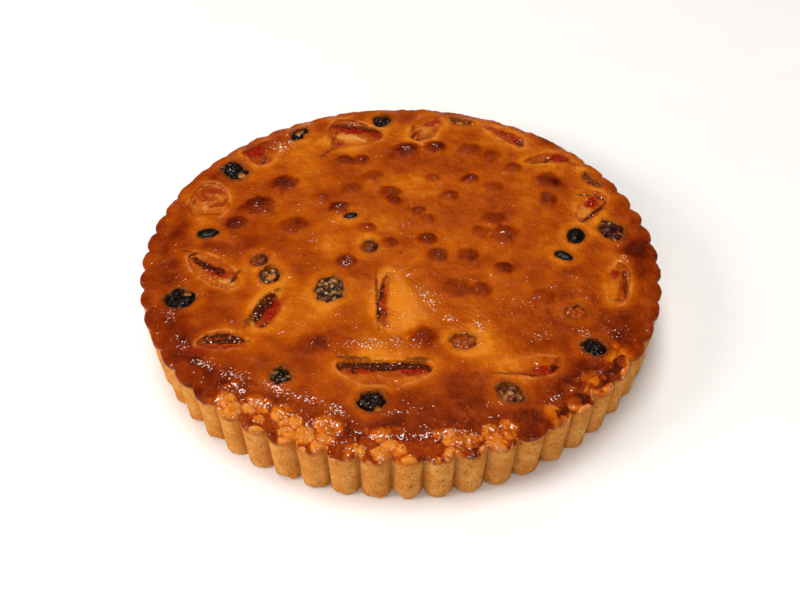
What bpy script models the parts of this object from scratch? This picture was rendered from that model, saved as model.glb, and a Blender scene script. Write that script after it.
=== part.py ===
"""Mixed berry tart: a fluted shortcrust case full of glazed custard, with strawberry
pieces, dark drupelet berries and blueberries set in its top.

All sizes and places below are in millimetres and degrees; MM turns them into the
scene's metres. The origin is under the middle of the case, on the surface that it
stands on, with +Z up and the front of the tart towards -Y.
"""
import math

import bmesh
import bpy
from mathutils import Vector, noise
from mathutils.geometry import delaunay_2d_cdt

MM = 0.001

# The case: an upright fluted wall on a flat floor.
RIM_RADIUS = 140.0           # over the crests of the flutes, at the rim
BASE_RADIUS = 137.5          # over the crests of the flutes, at the foot
FLUTES = 56
FLUTE_DEPTH_RIM = 4.6
FLUTE_DEPTH_BASE = 5.6
FIRST_CREST = 1.31           # angle of the first crest
STEPS_PER_FLUTE = 4
FOOT_BEVEL = 1.3             # the foot's edge is rubbed off by this much
FLOOR_THICKNESS = 4.0
FLOOR_INNER_RADIUS = 129.2
WALL_INNER_RADIUS = 132.6    # inner edge of the rim, where custard covers it
COVERED_RIM_HEIGHT = 29.4    # top of the wall under the custard's overhang
BARE_RIM_HEIGHT = 32.7       # top of the wall where its crumb is bare
CRUMB_LUMP = 1.6             # how far the crumbs of the bare rim rise and fall

# Stretches of rim that the custard leaves bare: middle angle, half width, inner radius.
BARE_RIM = (
    (243.0, 13.0, 124.0),
    (271.0, 10.0, 125.5),
    (288.5, 4.5, 127.5),
    (307.0, 4.5, 129.5),
    (318.0, 8.0, 130.0),
)

# The custard.
GAP = 0.45                   # clear space between the custard and the case
CUSTARD_EDGE_HEIGHT = 32.1   # at the rim
CUSTARD_CROWN = 2.4          # how much higher the middle lies
SHOULDER_RADIUS = 122.0      # the crown ends and the surface rolls down from here
PILLOW_WIDTH = 38.0          # the slow rise and fall of the baked surface
PILLOW_HEIGHT = 0.9
GRID = 7.6                   # spacing of the surface's points

# Blisters that rose while it baked: x, y, radius, height.
BLISTERS = (
    (-35.0, 37.5, 6.0, 1.7), (-60.0, 23.0, 8.0, 1.5), (-6.5, 51.5, 6.5, 1.5),
    (-4.0, 44.0, 4.5, 1.6), (20.5, 97.0, 7.0, 1.8), (3.5, 94.0, 8.0, 1.5),
    (-33.5, 84.0, 5.5, 1.2), (-24.5, 84.0, 6.0, 1.2), (40.5, 64.5, 5.5, 1.5),
    (27.5, 48.5, 5.5, 1.3), (10.0, 35.0, 4.0, 1.3), (15.0, 28.0, 5.0, 1.1),
    (14.0, 10.5, 6.0, 1.6), (-18.5, 20.0, 5.0, 1.2), (-6.5, 7.5, 5.0, 1.2),
    (84.0, 46.5, 6.0, 1.3), (54.5, -12.5, 5.5, 1.5), (11.0, -63.5, 8.0, 1.8),
    (-29.5, -7.5, 6.0, 1.4), (66.0, 75.5, 6.0, 1.3), (41.5, 95.0, 7.0, 1.1),
    (55.0, 89.0, 6.0, 1.2), (-68.0, 61.5, 8.5, 1.4), (-81.0, 40.0, 10.0, 1.2),
    (57.0, 15.0, 8.0, 1.3), (44.0, 17.0, 6.0, 1.2), (52.0, 28.0, 7.0, 1.0),
    (29.5, -28.0, 8.0, 1.2), (41.5, -29.0, 6.0, 1.2), (36.5, -2.0, 6.0, 1.3),
    (19.5, -2.0, 6.0, 1.2), (-46.5, 46.5, 5.5, 1.0), (-16.5, 67.5, 6.5, 1.2),
    (86.0, 64.5, 8.0, 1.2), (53.0, 57.5, 6.0, 1.0), (73.0, -34.0, 6.5, 1.2),
    (-44.5, -68.5, 8.0, 1.1), (-92.0, 25.0, 6.5, 1.0), (-28.5, 55.5, 6.0, 1.0),
    (18.5, 65.5, 4.5, 0.8),
)

# Broad mounds where custard lies over a buried piece of fruit: x, y, half length,
# half width, turn, height.
MOUNDS = (
    (56.0, -72.5, 24.0, 13.0, -8.0, 2.0), (5.5, -36.0, 11.0, 18.0, 20.0, 1.3),
    (-70.0, 92.0, 9.0, 14.0, -20.0, 1.5), (-91.0, -53.0, 20.0, 10.0, 0.0, 1.0),
    (-7.5, -70.5, 22.0, 8.0, 0.0, 1.3), (122.0, -24.0, 4.5, 18.0, -12.0, 1.2),
    (88.0, 76.5, 16.0, 6.0, 0.0, 1.2), (-59.0, -4.5, 12.0, 16.0, 30.0, 0.9),
)

# Strawberry pieces: x, y, length, width, turn, taper, bend, roundness of the outline.
STRAWBERRIES = (
    (-27.5, 110.0, 33.0, 26.0, -4.0, 0.45, 0.0, 2.6),
    (-85.0, 92.0, 21.0, 21.0, 172.0, 0.50, 0.0, 2.0),
    (-109.5, 45.5, 33.0, 22.0, 95.0, 0.10, 0.0, 2.0),
    (-100.0, -13.0, 37.0, 15.0, -42.0, -0.10, 0.0, 2.0),
    (-68.5, -43.5, 28.0, 14.0, 84.0, 0.15, 0.0, 1.6),
    (-89.0, -67.0, 26.0, 10.0, 0.0, 0.00, 2.5, 1.7),
    (-5.0, -36.0, 41.0, 14.0, 93.0, 0.50, 0.0, 2.2),
    (-8.0, -83.0, 47.0, 15.0, 0.0, 0.00, -4.0, 2.0),
    (64.5, -82.0, 27.0, 11.0, 12.0, -0.20, -2.0, 1.9),
    (115.0, -23.0, 33.0, 11.0, 77.0, 0.10, 0.0, 2.0),
    (107.5, 40.5, 30.0, 15.0, 66.0, -0.35, 0.0, 2.2),
    (90.0, 80.5, 33.0, 9.5, -7.0, 0.00, 6.0, 1.9),
    (63.0, 110.0, 33.0, 11.0, -46.0, 0.00, 2.0, 2.0),
    (15.5, 116.5, 29.0, 17.0, 62.0, 0.10, 0.0, 2.1),
)
STRAWBERRY_SINK = 1.3        # the cut faces lie this far below the custard
STRAWBERRY_DEPTH = 9.0

# Dark drupelet berries: x, y, length, width, turn, height above the custard.
DARK_BERRIES = (
    (-12.0, 125.5, 16.0, 12.0, 80.0, 1.8),
    (-98.5, 74.0, 22.0, 14.0, -52.0, 1.6),
    (-114.5, -34.0, 18.0, 16.0, -20.0, 1.8),
    (-37.0, -29.5, 21.0, 15.5, 86.0, 1.0),
    (-14.0, -104.5, 15.0, 14.5, 60.0, 2.2),
    (96.0, -69.5, 14.0, 12.0, -30.0, 1.8),
    (52.0, -99.5, 15.0, 13.0, -40.0, 1.2),
    (31.5, -66.5, 15.0, 12.0, -10.0, 0.8),
    (117.0, 20.0, 19.0, 14.5, 108.0, 1.4),
    (-69.5, -17.0, 13.0, 13.0, 0.0, 0.8),
    (-62.5, 110.0, 16.5, 9.5, 68.0, 1.2),
    (38.0, 124.5, 14.0, 10.5, -5.0, 0.9),
    (113.5, 65.5, 17.0, 11.0, -50.0, 1.0),
    (89.5, -45.0, 13.0, 9.0, 5.0, 1.0),
    (-58.0, -88.0, 12.5, 9.5, 75.0, 1.4),
)
DARK_BERRY_DEPTH = 9.5
DRUPELET = 0.07              # how far the drupelets swell and dip, of the berry's size

# Blueberries: x, y, length, width, turn, height above the custard.
BLUEBERRIES = (
    (96.5, 14.5, 14.0, 10.0, 72.0, 2.6),
    (88.0, -2.0, 11.0, 7.0, -35.0, 1.2),
    (-106.5, 16.5, 12.5, 8.0, 8.0, 1.2),
    (-76.0, -6.0, 9.5, 9.0, 0.0, 1.8),
    (-28.0, 31.0, 8.0, 5.0, 22.0, 0.8),
    (-17.0, 5.0, 10.0, 9.0, 90.0, 1.8),
)
BLUEBERRY_DEPTH = 7.5

FRUIT_OUTER_RADIUS = 131.1   # fruit by the rim is pressed flat against the case
POCKET_CLEARANCE = 0.38      # between a piece of fruit and its pocket in the custard
POCKET_TOP = 45.0            # the pocket's cutter reaches well above the surface

COLUMNS = FLUTES * STEPS_PER_FLUTE
CRUST_COLOUR = (0.62, 0.36, 0.16)
CUSTARD_COLOUR = (0.60, 0.20, 0.03)
STRAWBERRY_COLOUR = (0.50, 0.05, 0.02)
DARK_BERRY_COLOUR = (0.02, 0.01, 0.015)
BLUEBERRY_COLOUR = (0.015, 0.015, 0.025)


def clear_scene():
    for old in list(bpy.data.objects):
        bpy.data.objects.remove(old, do_unlink=True)


def material(name, colour, roughness):
    made = bpy.data.materials.new(name)
    made.use_nodes = True
    shader = made.node_tree.nodes["Principled BSDF"]
    shader.inputs["Base Color"].default_value = (*colour, 1.0)
    shader.inputs["Roughness"].default_value = roughness
    shader.inputs["Metallic"].default_value = 0.0
    return made


def polar(radius, angle, height):
    return Vector((radius * math.cos(angle), radius * math.sin(angle), height))


def column_angle(column):
    return math.radians(FIRST_CREST + column * 360.0 / COLUMNS)


# ---------------------------------------------------------------- closed surfaces

class Skin:
    """Collects rings of points and the triangles between them, in millimetres."""

    def __init__(self):
        self.points = []
        self.triangles = []

    def ring(self, points):
        start = len(self.points)
        self.points.extend(points)
        return list(range(start, start + len(points)))

    def band(self, lower, upper, outward=True):
        """Joins two rings; one may have twice as many points as the other."""
        count = max(len(lower), len(upper))
        low_step = count // len(lower)
        high_step = count // len(upper)
        for i in range(count):
            a, b = lower[i // low_step], lower[(i + 1) // low_step % len(lower)]
            d, c = upper[i // high_step], upper[(i + 1) // high_step % len(upper)]
            for triangle in ((a, b, c), (a, c, d)):
                if len(set(triangle)) == 3:
                    self.add(triangle, outward)

    def fan(self, ring, centre, outward=True):
        tip = self.ring([centre])[0]
        for i, a in enumerate(ring):
            self.add((a, ring[(i + 1) % len(ring)], tip), outward)

    def add(self, triangle, outward=True):
        self.triangles.append(triangle if outward else triangle[::-1])

    def disc(self, ring, height, radii, outward=True):
        """Closes a ring with ever smaller rings of half as many points."""
        for radius in radii:
            angles = [math.atan2(self.points[i].y, self.points[i].x) for i in ring[::2]]
            inner = self.ring([polar(radius, angle, height) for angle in angles])
            self.band(ring, inner, outward)
            ring = inner
        self.fan(ring, Vector((0.0, 0.0, height)), outward)

    def build(self, name, finish=None):
        mesh = bpy.data.meshes.new(name)
        shape = bmesh.new()
        corners = [shape.verts.new(point * MM) for point in self.points]
        for triangle in self.triangles:
            shape.faces.new([corners[i] for i in triangle])
        shape.to_mesh(mesh)
        shape.free()
        made = bpy.data.objects.new(name, mesh)
        if finish:
            mesh.materials.append(finish)
        return made


# ---------------------------------------------------------------- the custard's top

def ellipse_distance(x, y, centre_x, centre_y, half_length, half_width, turn):
    angle = math.radians(turn)
    dx, dy = x - centre_x, y - centre_y
    along = dx * math.cos(angle) + dy * math.sin(angle)
    across = dy * math.cos(angle) - dx * math.sin(angle)
    return math.hypot(along / half_length, across / half_width)


def custard_height(x, y):
    """Height of the custard's surface: a low crown with pillows, mounds and blisters."""
    radius = math.hypot(x, y)
    crown = max(0.0, 1.0 - (radius / RIM_RADIUS) ** 2)
    height = CUSTARD_EDGE_HEIGHT + CUSTARD_CROWN * crown ** 0.6
    inside = min(1.0, max(0.0, (RIM_RADIUS - radius) / (RIM_RADIUS - SHOULDER_RADIUS)))
    spot = Vector((x / PILLOW_WIDTH, y / PILLOW_WIDTH, 0.7))
    height += inside * PILLOW_HEIGHT * noise.noise(spot)
    height += inside * 0.5 * PILLOW_HEIGHT * noise.noise(spot * 2.3)
    for mound_x, mound_y, half_length, half_width, turn, rise in MOUNDS:
        away = ellipse_distance(x, y, mound_x, mound_y, half_length, half_width, turn)
        height += rise * math.exp(-1.6 * away ** 2)
    for blister_x, blister_y, size, rise in BLISTERS:
        away = math.hypot(x - blister_x, y - blister_y) / size
        height += rise * math.exp(-2.2 * away ** 2)
    return height


# ---------------------------------------------------------------- the fluted rim

def flute_inset(column, depth, radius):
    """How far the wall lies behind its crests: each flute is a round arc."""
    flute, step = divmod(column, STEPS_PER_FLUTE)
    across = 2.0 * step / STEPS_PER_FLUTE
    if across > 1.0:
        across -= 2.0
    depth *= 1.0 + 0.12 * noise.noise(Vector((1.7 * flute, 0.4, 0.0)))
    half_width = math.pi * radius / FLUTES
    arc = (half_width ** 2 + depth ** 2) / (2.0 * depth)
    return arc - math.sqrt(arc ** 2 - (across * half_width) ** 2)


def wall_radius(column, height):
    share = height / BARE_RIM_HEIGHT
    crest = BASE_RADIUS + (RIM_RADIUS - BASE_RADIUS) * share
    depth = FLUTE_DEPTH_BASE + (FLUTE_DEPTH_RIM - FLUTE_DEPTH_BASE) * share
    return crest - flute_inset(column, depth, crest)


def bare_stretch(column):
    """The bare stretch of rim that a column is in, or None under custard."""
    angle = math.degrees(column_angle(column % COLUMNS))
    for stretch in BARE_RIM:
        if abs((angle - stretch[0] + 180.0) % 360.0 - 180.0) < stretch[1]:
            return stretch
    return None


def bare_around(column, reach):
    return all(bare_stretch(column + i) for i in range(-reach, reach + 1))


def rim_inner_point(column, inset, height):
    """A point on the rim's inner edge, on the straight line between even columns."""
    if column % 2:
        before = rim_inner_point(column - 1, inset, height)
        after = rim_inner_point((column + 1) % COLUMNS, inset, height)
        return (before + after) / 2.0
    stretch = bare_stretch(column)
    radius = stretch[2] if stretch else WALL_INNER_RADIUS
    return polar(radius - inset, column_angle(column), height)


def crumb(column, seed):
    return CRUMB_LUMP * noise.noise(Vector((0.9 * column, seed, 3.0)))


# ---------------------------------------------------------------- case and filling

def build_crust(finish):
    skin = Skin()
    every = range(COLUMNS)
    even = range(0, COLUMNS, 2)

    def wall_ring(height, inset):
        return skin.ring([polar(wall_radius(c, height) - inset, column_angle(c), height)
                          for c in every])

    def rim_edge(column):
        bare = bare_around(column, 1)
        height = BARE_RIM_HEIGHT - 1.2 + 0.5 * crumb(column, 1.0) if bare else \
            COVERED_RIM_HEIGHT - 0.5
        return polar(wall_radius(column, height), column_angle(column), height)

    def rim_top(column):
        bare = bare_around(column, 1)
        height = BARE_RIM_HEIGHT + crumb(column, 2.0) if bare else COVERED_RIM_HEIGHT
        inner = rim_inner_point(column, 0.0, height)
        middle = (wall_radius(column, height) + math.hypot(inner.x, inner.y)) / 2.0
        return polar(middle, column_angle(column), height)

    def rim_inner(column):
        bare = bare_around(column, 2)
        height = BARE_RIM_HEIGHT - 0.4 + 0.5 * crumb(column, 3.0) if bare else \
            COVERED_RIM_HEIGHT
        return rim_inner_point(column, 0.0, height)

    foot = wall_ring(0.0, FOOT_BEVEL)
    rings = [foot, wall_ring(FOOT_BEVEL, 0.0), wall_ring(COVERED_RIM_HEIGHT - 3.0, 0.3),
             skin.ring([rim_edge(c) for c in every]),
             skin.ring([rim_top(c) for c in every]),
             skin.ring([rim_inner(c) for c in even]),
             skin.ring([polar(FLOOR_INNER_RADIUS, column_angle(c), FLOOR_THICKNESS)
                        for c in even])]
    for lower, upper in zip(rings, rings[1:]):
        skin.band(lower, upper)
    skin.disc(rings[-1], FLOOR_THICKNESS, (96.0, 52.0))
    skin.disc(foot, 0.0, (112.0, 82.0, 46.0), outward=False)
    return skin.build("crust", finish)


def surface_points(ring):
    """A honeycomb of points over the custard, with one on the top of each blister."""
    tips = [Vector((x, y)) for x, y, size, rise in BLISTERS]
    points = list(tips)
    rows = int(SHOULDER_RADIUS / (GRID * math.sqrt(0.75))) + 1
    for row in range(-rows, rows + 1):
        y = row * GRID * math.sqrt(0.75)
        for place in range(-rows - 1, rows + 2):
            spot = Vector(((place + 0.5 * (row % 2)) * GRID, y))
            clear_of_edge = spot.length < SHOULDER_RADIUS - 0.55 * GRID
            if clear_of_edge and min((spot - tip).length for tip in tips) > 0.6 * GRID:
                points.append(spot)
    return [point.to_2d() for point in ring] + points


def build_filling(finish):
    skin = Skin()
    every = range(COLUMNS)
    even = range(0, COLUMNS, 2)
    underside = COVERED_RIM_HEIGHT + 0.35

    def edge_radius(column):
        if not bare_stretch(column):
            return wall_radius(column, CUSTARD_EDGE_HEIGHT)
        inner = rim_inner_point(column, GAP, underside)
        return math.hypot(inner.x, inner.y) + 0.05

    def top_point(radius, column):
        point = polar(radius, column_angle(column), 0.0)
        point.z = custard_height(point.x, point.y)
        return point

    def edge_point(column, height):
        return polar(edge_radius(column), column_angle(column), height)

    shoulder = [top_point(SHOULDER_RADIUS, c) for c in even]
    flat = surface_points(shoulder)
    edges = [(i, (i + 1) % len(shoulder)) for i in range(len(shoulder))]
    laid = delaunay_2d_cdt(flat, edges, [], 1, 1e-4)
    top = skin.ring([Vector((p.x, p.y, custard_height(p.x, p.y))) for p in laid[0]])
    for triangle in laid[2]:
        skin.add(tuple(top[i] for i in triangle))
    outer = {laid[3][i][0]: i for i in range(len(top)) if laid[3][i]}
    shoulder_ring = [top[outer[i]] for i in range(len(shoulder))]

    roll = skin.ring([top_point(0.4 * SHOULDER_RADIUS + 0.6 * edge_radius(c), c)
                      for c in even])
    rim = skin.ring([edge_point(c, CUSTARD_EDGE_HEIGHT - 0.3) for c in every])
    lip = skin.ring([edge_point(c, underside) for c in every])
    neck = skin.ring([rim_inner_point(c, GAP, underside) for c in even])
    floor = skin.ring([polar(FLOOR_INNER_RADIUS - GAP, column_angle(c),
                             FLOOR_THICKNESS + 0.35) for c in even])
    rings = [neck, lip, rim, roll, shoulder_ring]
    for lower, upper in zip(rings, rings[1:]):
        skin.band(lower, upper)
    skin.band(neck, floor, outward=False)    # split along the same diagonals as the case
    skin.disc(floor, FLOOR_THICKNESS + 0.35, (96.0, 52.0), outward=False)
    return skin.build("filling", finish)


# ---------------------------------------------------------------- fruit

def outline_point(fruit, angle, scale, grow):
    """A point on a fruit's outline: a rounded shape that can taper and bend."""
    x, y, length, width, turn, taper, bend, power = fruit
    half_width = 0.5 * width * scale + grow
    cosine, sine = math.cos(angle), math.sin(angle)
    along = math.copysign(abs(cosine) ** (2.0 / power), cosine)
    across = math.copysign(abs(sine) ** (2.0 / power), sine)
    u = (0.5 * length * scale + grow) * along
    centre_line = bend * (1.0 - (scale * along) ** 2)
    v = half_width * across * (1.0 - taper * along) + centre_line
    heading = math.radians(turn)
    spot = Vector((x + u * math.cos(heading) - v * math.sin(heading),
                   y + u * math.sin(heading) + v * math.cos(heading)))
    limit = FRUIT_OUTER_RADIUS + grow
    if spot.length > limit:
        spot *= limit / spot.length
    return spot


def fruit_ring(skin, fruit, columns, scale, drop, grow=0.0, lumps=0.0, level=None):
    """One ring of a fruit, a given drop below the custard or at a fixed level."""
    points = []
    for i in range(columns):
        swell = 1.0 + lumps * (-1.0) ** i
        spot = outline_point(fruit, 2.0 * math.pi * i / columns, scale * swell, grow)
        height = custard_height(spot.x, spot.y) - drop if level is None else level
        points.append(Vector((spot.x, spot.y, height)))
    return skin.ring(points)


def middle_point(fruit, drop):
    """The point under or over a fruit's middle, on its bent centre line."""
    x, y, turn, bend = fruit[0], fruit[1], math.radians(fruit[4]), fruit[6]
    x -= bend * math.sin(turn)
    y += bend * math.cos(turn)
    return Vector((x, y, custard_height(x, y) - drop))


def build_fruit(name, fruit, columns, rings, bottom, top, finish, collection):
    """A fruit from its rings, listed upwards as (scale, drop, lumps)."""
    skin = Skin()
    made = [fruit_ring(skin, fruit, columns, scale, drop, 0.0, lumps)
            for scale, drop, lumps in rings]
    for lower, upper in zip(made, made[1:]):
        skin.band(lower, upper)
    skin.fan(made[0], middle_point(fruit, bottom), outward=False)
    skin.fan(made[-1], middle_point(fruit, top))
    solid = skin.build(name, finish)
    collection.objects.link(solid)
    solid.data.shade_smooth()
    solid.data.set_sharp_from_angle(angle=math.radians(50.0))
    return solid


def build_pocket(name, fruit, columns, rings, bottom, collection):
    """The cutter for a fruit's pocket: its lower half, grown, and open upwards."""
    skin = Skin()
    lower = [fruit_ring(skin, fruit, columns, scale, drop + 0.3, POCKET_CLEARANCE, lumps)
             for scale, drop, lumps in rings]
    scale, drop, lumps = rings[-1]
    lower.append(fruit_ring(skin, fruit, columns, scale, drop, POCKET_CLEARANCE, lumps,
                            level=POCKET_TOP))
    for below, above in zip(lower, lower[1:]):
        skin.band(below, above)
    skin.fan(lower[0], middle_point(fruit, bottom + 0.6), outward=False)
    middle = middle_point(fruit, 0.0)
    skin.fan(lower[-1], Vector((middle.x, middle.y, POCKET_TOP)))
    cutter = skin.build(name)
    cutter.hide_render = True
    cutter.display_type = "WIRE"
    collection.objects.link(cutter)


def add_fruit(kind, fruits, columns, rings_of, depth, finish, scene_set, pockets):
    """Every fruit of one kind with its pocket; rings_of gives a fruit's upper rings."""
    for number, fruit in enumerate(fruits, start=1):
        place, rise = (fruit, None) if len(fruit) == 8 else ((*fruit[:5], 0.0, 0.0, 2.0),
                                                             fruit[5])
        rings, widest, top = rings_of(rise)
        name = f"{kind}_{number:02d}"
        build_fruit(name, place, columns, rings, depth, top, finish, scene_set)
        build_pocket(f"pocket_{name}", place, columns, rings[:widest + 1], depth, pockets)


def strawberry_rings(rise):
    """Cut pieces with a rounded back and a slightly dished face."""
    sink = STRAWBERRY_SINK
    return [(0.62, 6.8, 0.0), (1.0, sink + 1.6, 0.0), (0.9, sink - 0.3, 0.0),
            (0.5, sink + 0.3, 0.0)], 1, sink


def dark_berry_rings(rise):
    """A knobbly dome: the drupelets of each ring sit between those of the next."""
    return [(0.62, 7.0, -DRUPELET), (1.0, 2.4, DRUPELET),
            (0.74, 0.2 - 0.6 * rise, -DRUPELET)], 1, -rise


def blueberry_rings(rise):
    return [(0.6, 5.6, 0.0), (1.0, 2.0, 0.0), (0.7, 0.1 - 0.7 * rise, 0.0)], 1, -rise


def main():
    clear_scene()
    scene_set = bpy.context.scene.collection
    pockets = bpy.data.collections.new("pockets")
    scene_set.children.link(pockets)

    crust = build_crust(material("baked_crust", CRUST_COLOUR, 0.8))
    scene_set.objects.link(crust)
    filling = build_filling(material("glazed_custard", CUSTARD_COLOUR, 0.3))
    scene_set.objects.link(filling)

    add_fruit("strawberry", STRAWBERRIES, 14, strawberry_rings, STRAWBERRY_DEPTH,
              material("strawberry_flesh", STRAWBERRY_COLOUR, 0.35), scene_set, pockets)
    add_fruit("dark_berry", DARK_BERRIES, 12, dark_berry_rings, DARK_BERRY_DEPTH,
              material("dark_berry_skin", DARK_BERRY_COLOUR, 0.3), scene_set, pockets)
    add_fruit("blueberry", BLUEBERRIES, 10, blueberry_rings, BLUEBERRY_DEPTH,
              material("blueberry_skin", BLUEBERRY_COLOUR, 0.25), scene_set, pockets)

    cut = filling.modifiers.new("fruit_pockets", "BOOLEAN")
    cut.operation = "DIFFERENCE"
    cut.operand_type = "COLLECTION"
    cut.collection = pockets
    cut.solver = "EXACT"


main()
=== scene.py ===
"""Looks of the mixed berry pie: a fluted shortcrust case, its glazed custard and fruit.

Lengths and places on the pie are in millimetres, and MM turns them into the frame's
metres. Lamps, camera and floor are placed in metres. Angles are in degrees from +X, and
the front of the pie faces -Y. Colours are display values from 0 to 255. A noise is called
with its places, the width of its features, its seed and sometimes how many octaves it has.
"""
import math

import bpy
import numpy as np
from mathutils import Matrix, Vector, noise


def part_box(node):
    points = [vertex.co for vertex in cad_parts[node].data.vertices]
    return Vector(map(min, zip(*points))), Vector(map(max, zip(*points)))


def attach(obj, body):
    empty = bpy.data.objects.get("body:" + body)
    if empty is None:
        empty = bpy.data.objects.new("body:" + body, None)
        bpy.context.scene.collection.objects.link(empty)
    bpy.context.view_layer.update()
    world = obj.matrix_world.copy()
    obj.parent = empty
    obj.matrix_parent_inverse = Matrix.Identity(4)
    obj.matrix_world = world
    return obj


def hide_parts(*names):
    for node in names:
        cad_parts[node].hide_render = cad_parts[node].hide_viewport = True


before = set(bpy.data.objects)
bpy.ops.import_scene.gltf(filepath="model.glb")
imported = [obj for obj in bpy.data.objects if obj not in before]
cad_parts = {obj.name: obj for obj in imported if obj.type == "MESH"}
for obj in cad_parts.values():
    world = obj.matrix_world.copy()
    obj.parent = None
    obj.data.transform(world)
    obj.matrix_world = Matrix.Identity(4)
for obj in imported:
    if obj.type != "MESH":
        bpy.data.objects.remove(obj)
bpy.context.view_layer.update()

MM = 0.001

# ---------------------------------------------------------------- sizes, from the frame

FLUTES = 56
FIRST_CREST = 1.31
COLUMNS = FLUTES * 16
RIM_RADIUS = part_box("filling")[1].x / MM + 0.05
BASE_RADIUS = RIM_RADIUS - 2.5
FLUTE_DEPTH_RIM = 4.6
FLUTE_DEPTH_BASE = 5.6
RIM_HEIGHT = 32.7
CASE_FLOOR = 4.0
CASE_INNER_RADIUS = 121.0

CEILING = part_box("filling")[1].z / MM - 0.1
EDGE_HEIGHT = 32.1
COVERED_TOP = EDGE_HEIGHT - 2.9
CROWN = 2.4
CROWN_RADIUS = 140.0
PILLOW_WIDTH = 38.0
SHOULDER_RADIUS = 122.0
CUSTARD_SIDE_RADIUS = 128.7
UNDERSIDE = 4.6

# How deep a piece of fruit is, and how far it reaches out under the custard.
FRUIT_DEPTH = 5.0
HIDDEN_EDGE = 0.9

# How finely the pieces are built: the gap between the custard's rings, and how many
# rings its edge and the crust's rim have.
RING_STEP = 0.9
EDGE_STEPS = 22
RIM_STEPS = 26

# Stretches of rim where the crumb is bare: middle angle, half width, inner radius.
BARE_RIM = (
    (243, 13, 124), (271, 10, 125.5), (288.5, 4.5, 127.5), (307, 4.5, 129.5), (318, 8, 130),
)

# Blisters in the custard: x, y, radius, height, how brown.
BLISTERS = (
    (-35, 37.5, 6, 1.7, 1), (-60, 23, 8, 1.5, 0.7), (-6.5, 51.5, 6.5, 1.5, 0.9), (-4, 44, 4.5, 1.6, 1),
    (20.5, 97, 7, 1.8, 1.1), (3.5, 94, 8, 1.5, 0.9), (-33.5, 84, 5.5, 1.2, 0.8),
    (-24.5, 84, 6, 1.2, 0.8), (40.5, 64.5, 5.5, 1.5, 1), (27.5, 48.5, 5.5, 1.3, 0.7),
    (10, 35, 4, 1.3, 0.8), (15, 28, 5, 1.1, 0.6), (14, 10.5, 6, 1.6, 1), (-18.5, 20, 5, 1.2, 0.7),
    (-6.5, 7.5, 5, 1.2, 0.8), (84, 46.5, 6, 1.3, 0.8), (54.5, -12.5, 5.5, 1.5, 0.9),
    (11, -63.5, 8, 1.8, 0.8), (-29.5, -7.5, 6, 1.4, 0.8), (66, 75.5, 6, 1.3, 0.7),
    (41.5, 95, 7, 1.1, 0.6), (55, 89, 6, 1.2, 0.6), (-68, 61.5, 8.5, 1.4, 0.9), (-81, 40, 10, 1.2, 0.8),
    (57, 15, 8, 1.3, 0.9), (44, 17, 6, 1.2, 0.7), (52, 28, 7, 1, 0.6), (29.5, -28, 8, 1.2, 0.6),
    (41.5, -29, 6, 1.2, 0.7), (36.5, -2, 6, 1.3, 0.6), (19.5, -2, 6, 1.2, 0.7),
    (-46.5, 46.5, 5.5, 1, 0.5), (-16.5, 67.5, 6.5, 1.2, 0.6), (86, 64.5, 8, 1.2, 0.8),
    (53, 57.5, 6, 1, 0.6), (73, -34, 6.5, 1.2, 0.5), (-44.5, -68.5, 8, 1.1, 0.6),
    (-92, 25, 6.5, 1, 0.7), (-28.5, 55.5, 6, 1, 0.6), (18.5, 65.5, 4.5, 0.8, 0.6),
)

# Broad mounds over buried fruit: x, y, half length, half width, turn, height.
MOUNDS = (
    (56, -72.5, 24, 13, -8, 2), (5.5, -36, 11, 18, 20, 1.3), (-70, 92, 9, 14, -20, 1.5),
    (-91, -53, 20, 10, 0, 1), (-7.5, -70.5, 22, 8, 0, 1.3), (122, -24, 4.5, 18, -12, 1.2),
    (88, 76.5, 16, 6, 0, 1.2), (-59, -4.5, 12, 16, 30, 0.9),
)

# Flat brown patches with no blister: x, y, radius, how brown.
SCORCHES = (
    (-106, 7.5, 6, 0.6), (126, 5.5, 7, 0.8), (-77, 48.5, 8, 0.4), (92, 60.5, 6, 0.6),
    (105, 6.5, 6, 0.4), (63, 37, 7, 0.4), (-55, -15.5, 6, 0.3), (30.5, 75.5, 9, 0.3),
    (-37.5, -65.5, 12, 0.4), (24.5, -92, 14, 0.3), (-99, 21, 8, 0.3), (20.5, -22, 8, 0.4),
    (-88, 0, 22, 0.35), (0, -106, 18, 0.35), (85, -86, 15, 0.3), (133, 2, 10, 0.5), (0, 82, 17, 0.3),
    (88, -50, 20, 0.5), (98, -78, 14, 0.35), (39, -122, 10, 0.3), (38, -42, 12, 0.28),
    (-38, 32, 14, 0.32), (-73, -4, 12, 0.34), (-96, 69, 9, 0.4), (88, -93, 10, 0.25),
)

# Golden places that stayed pale: x, y, radius, how pale.
PALE_SPOTS = (
    (8.5, 62.5, 14, 0.5), (-1.5, 117.5, 10, 0.5), (57, 106, 12, 0.6), (-11.5, 25, 10, 0.3),
    (5.5, -42, 16, 0.6), (46, -69.5, 14, 0.8), (-49.5, -46, 14, 0.6), (-59, -26, 9, 0.5),
    (88, 79, 14, 0.6), (-7.5, -73.5, 14, 0.5), (-51.5, 108, 12, 0.5), (-75, -59.5, 12, 0.4),
    (-89, 6.5, 10, 0.3), (-41.5, 18, 12, 0.4), (72, 41, 12, 0.3), (40.5, -48, 12, 0.3),
    (118, -26, 8, 0.6), (-109, -53, 8, 0.2), (-126, 0, 14, 0.55), (-58, 90, 14, 0.8),
    (-126, 30, 12, 0.55), (5, -15, 14, 0.45), (-52, 73, 12, 0.4), (-112, -60, 10, 0.45),
    (110, -1, 10, 0.5), (81, 101, 12, 0.4), (35, 115, 12, 0.4),
)

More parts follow.
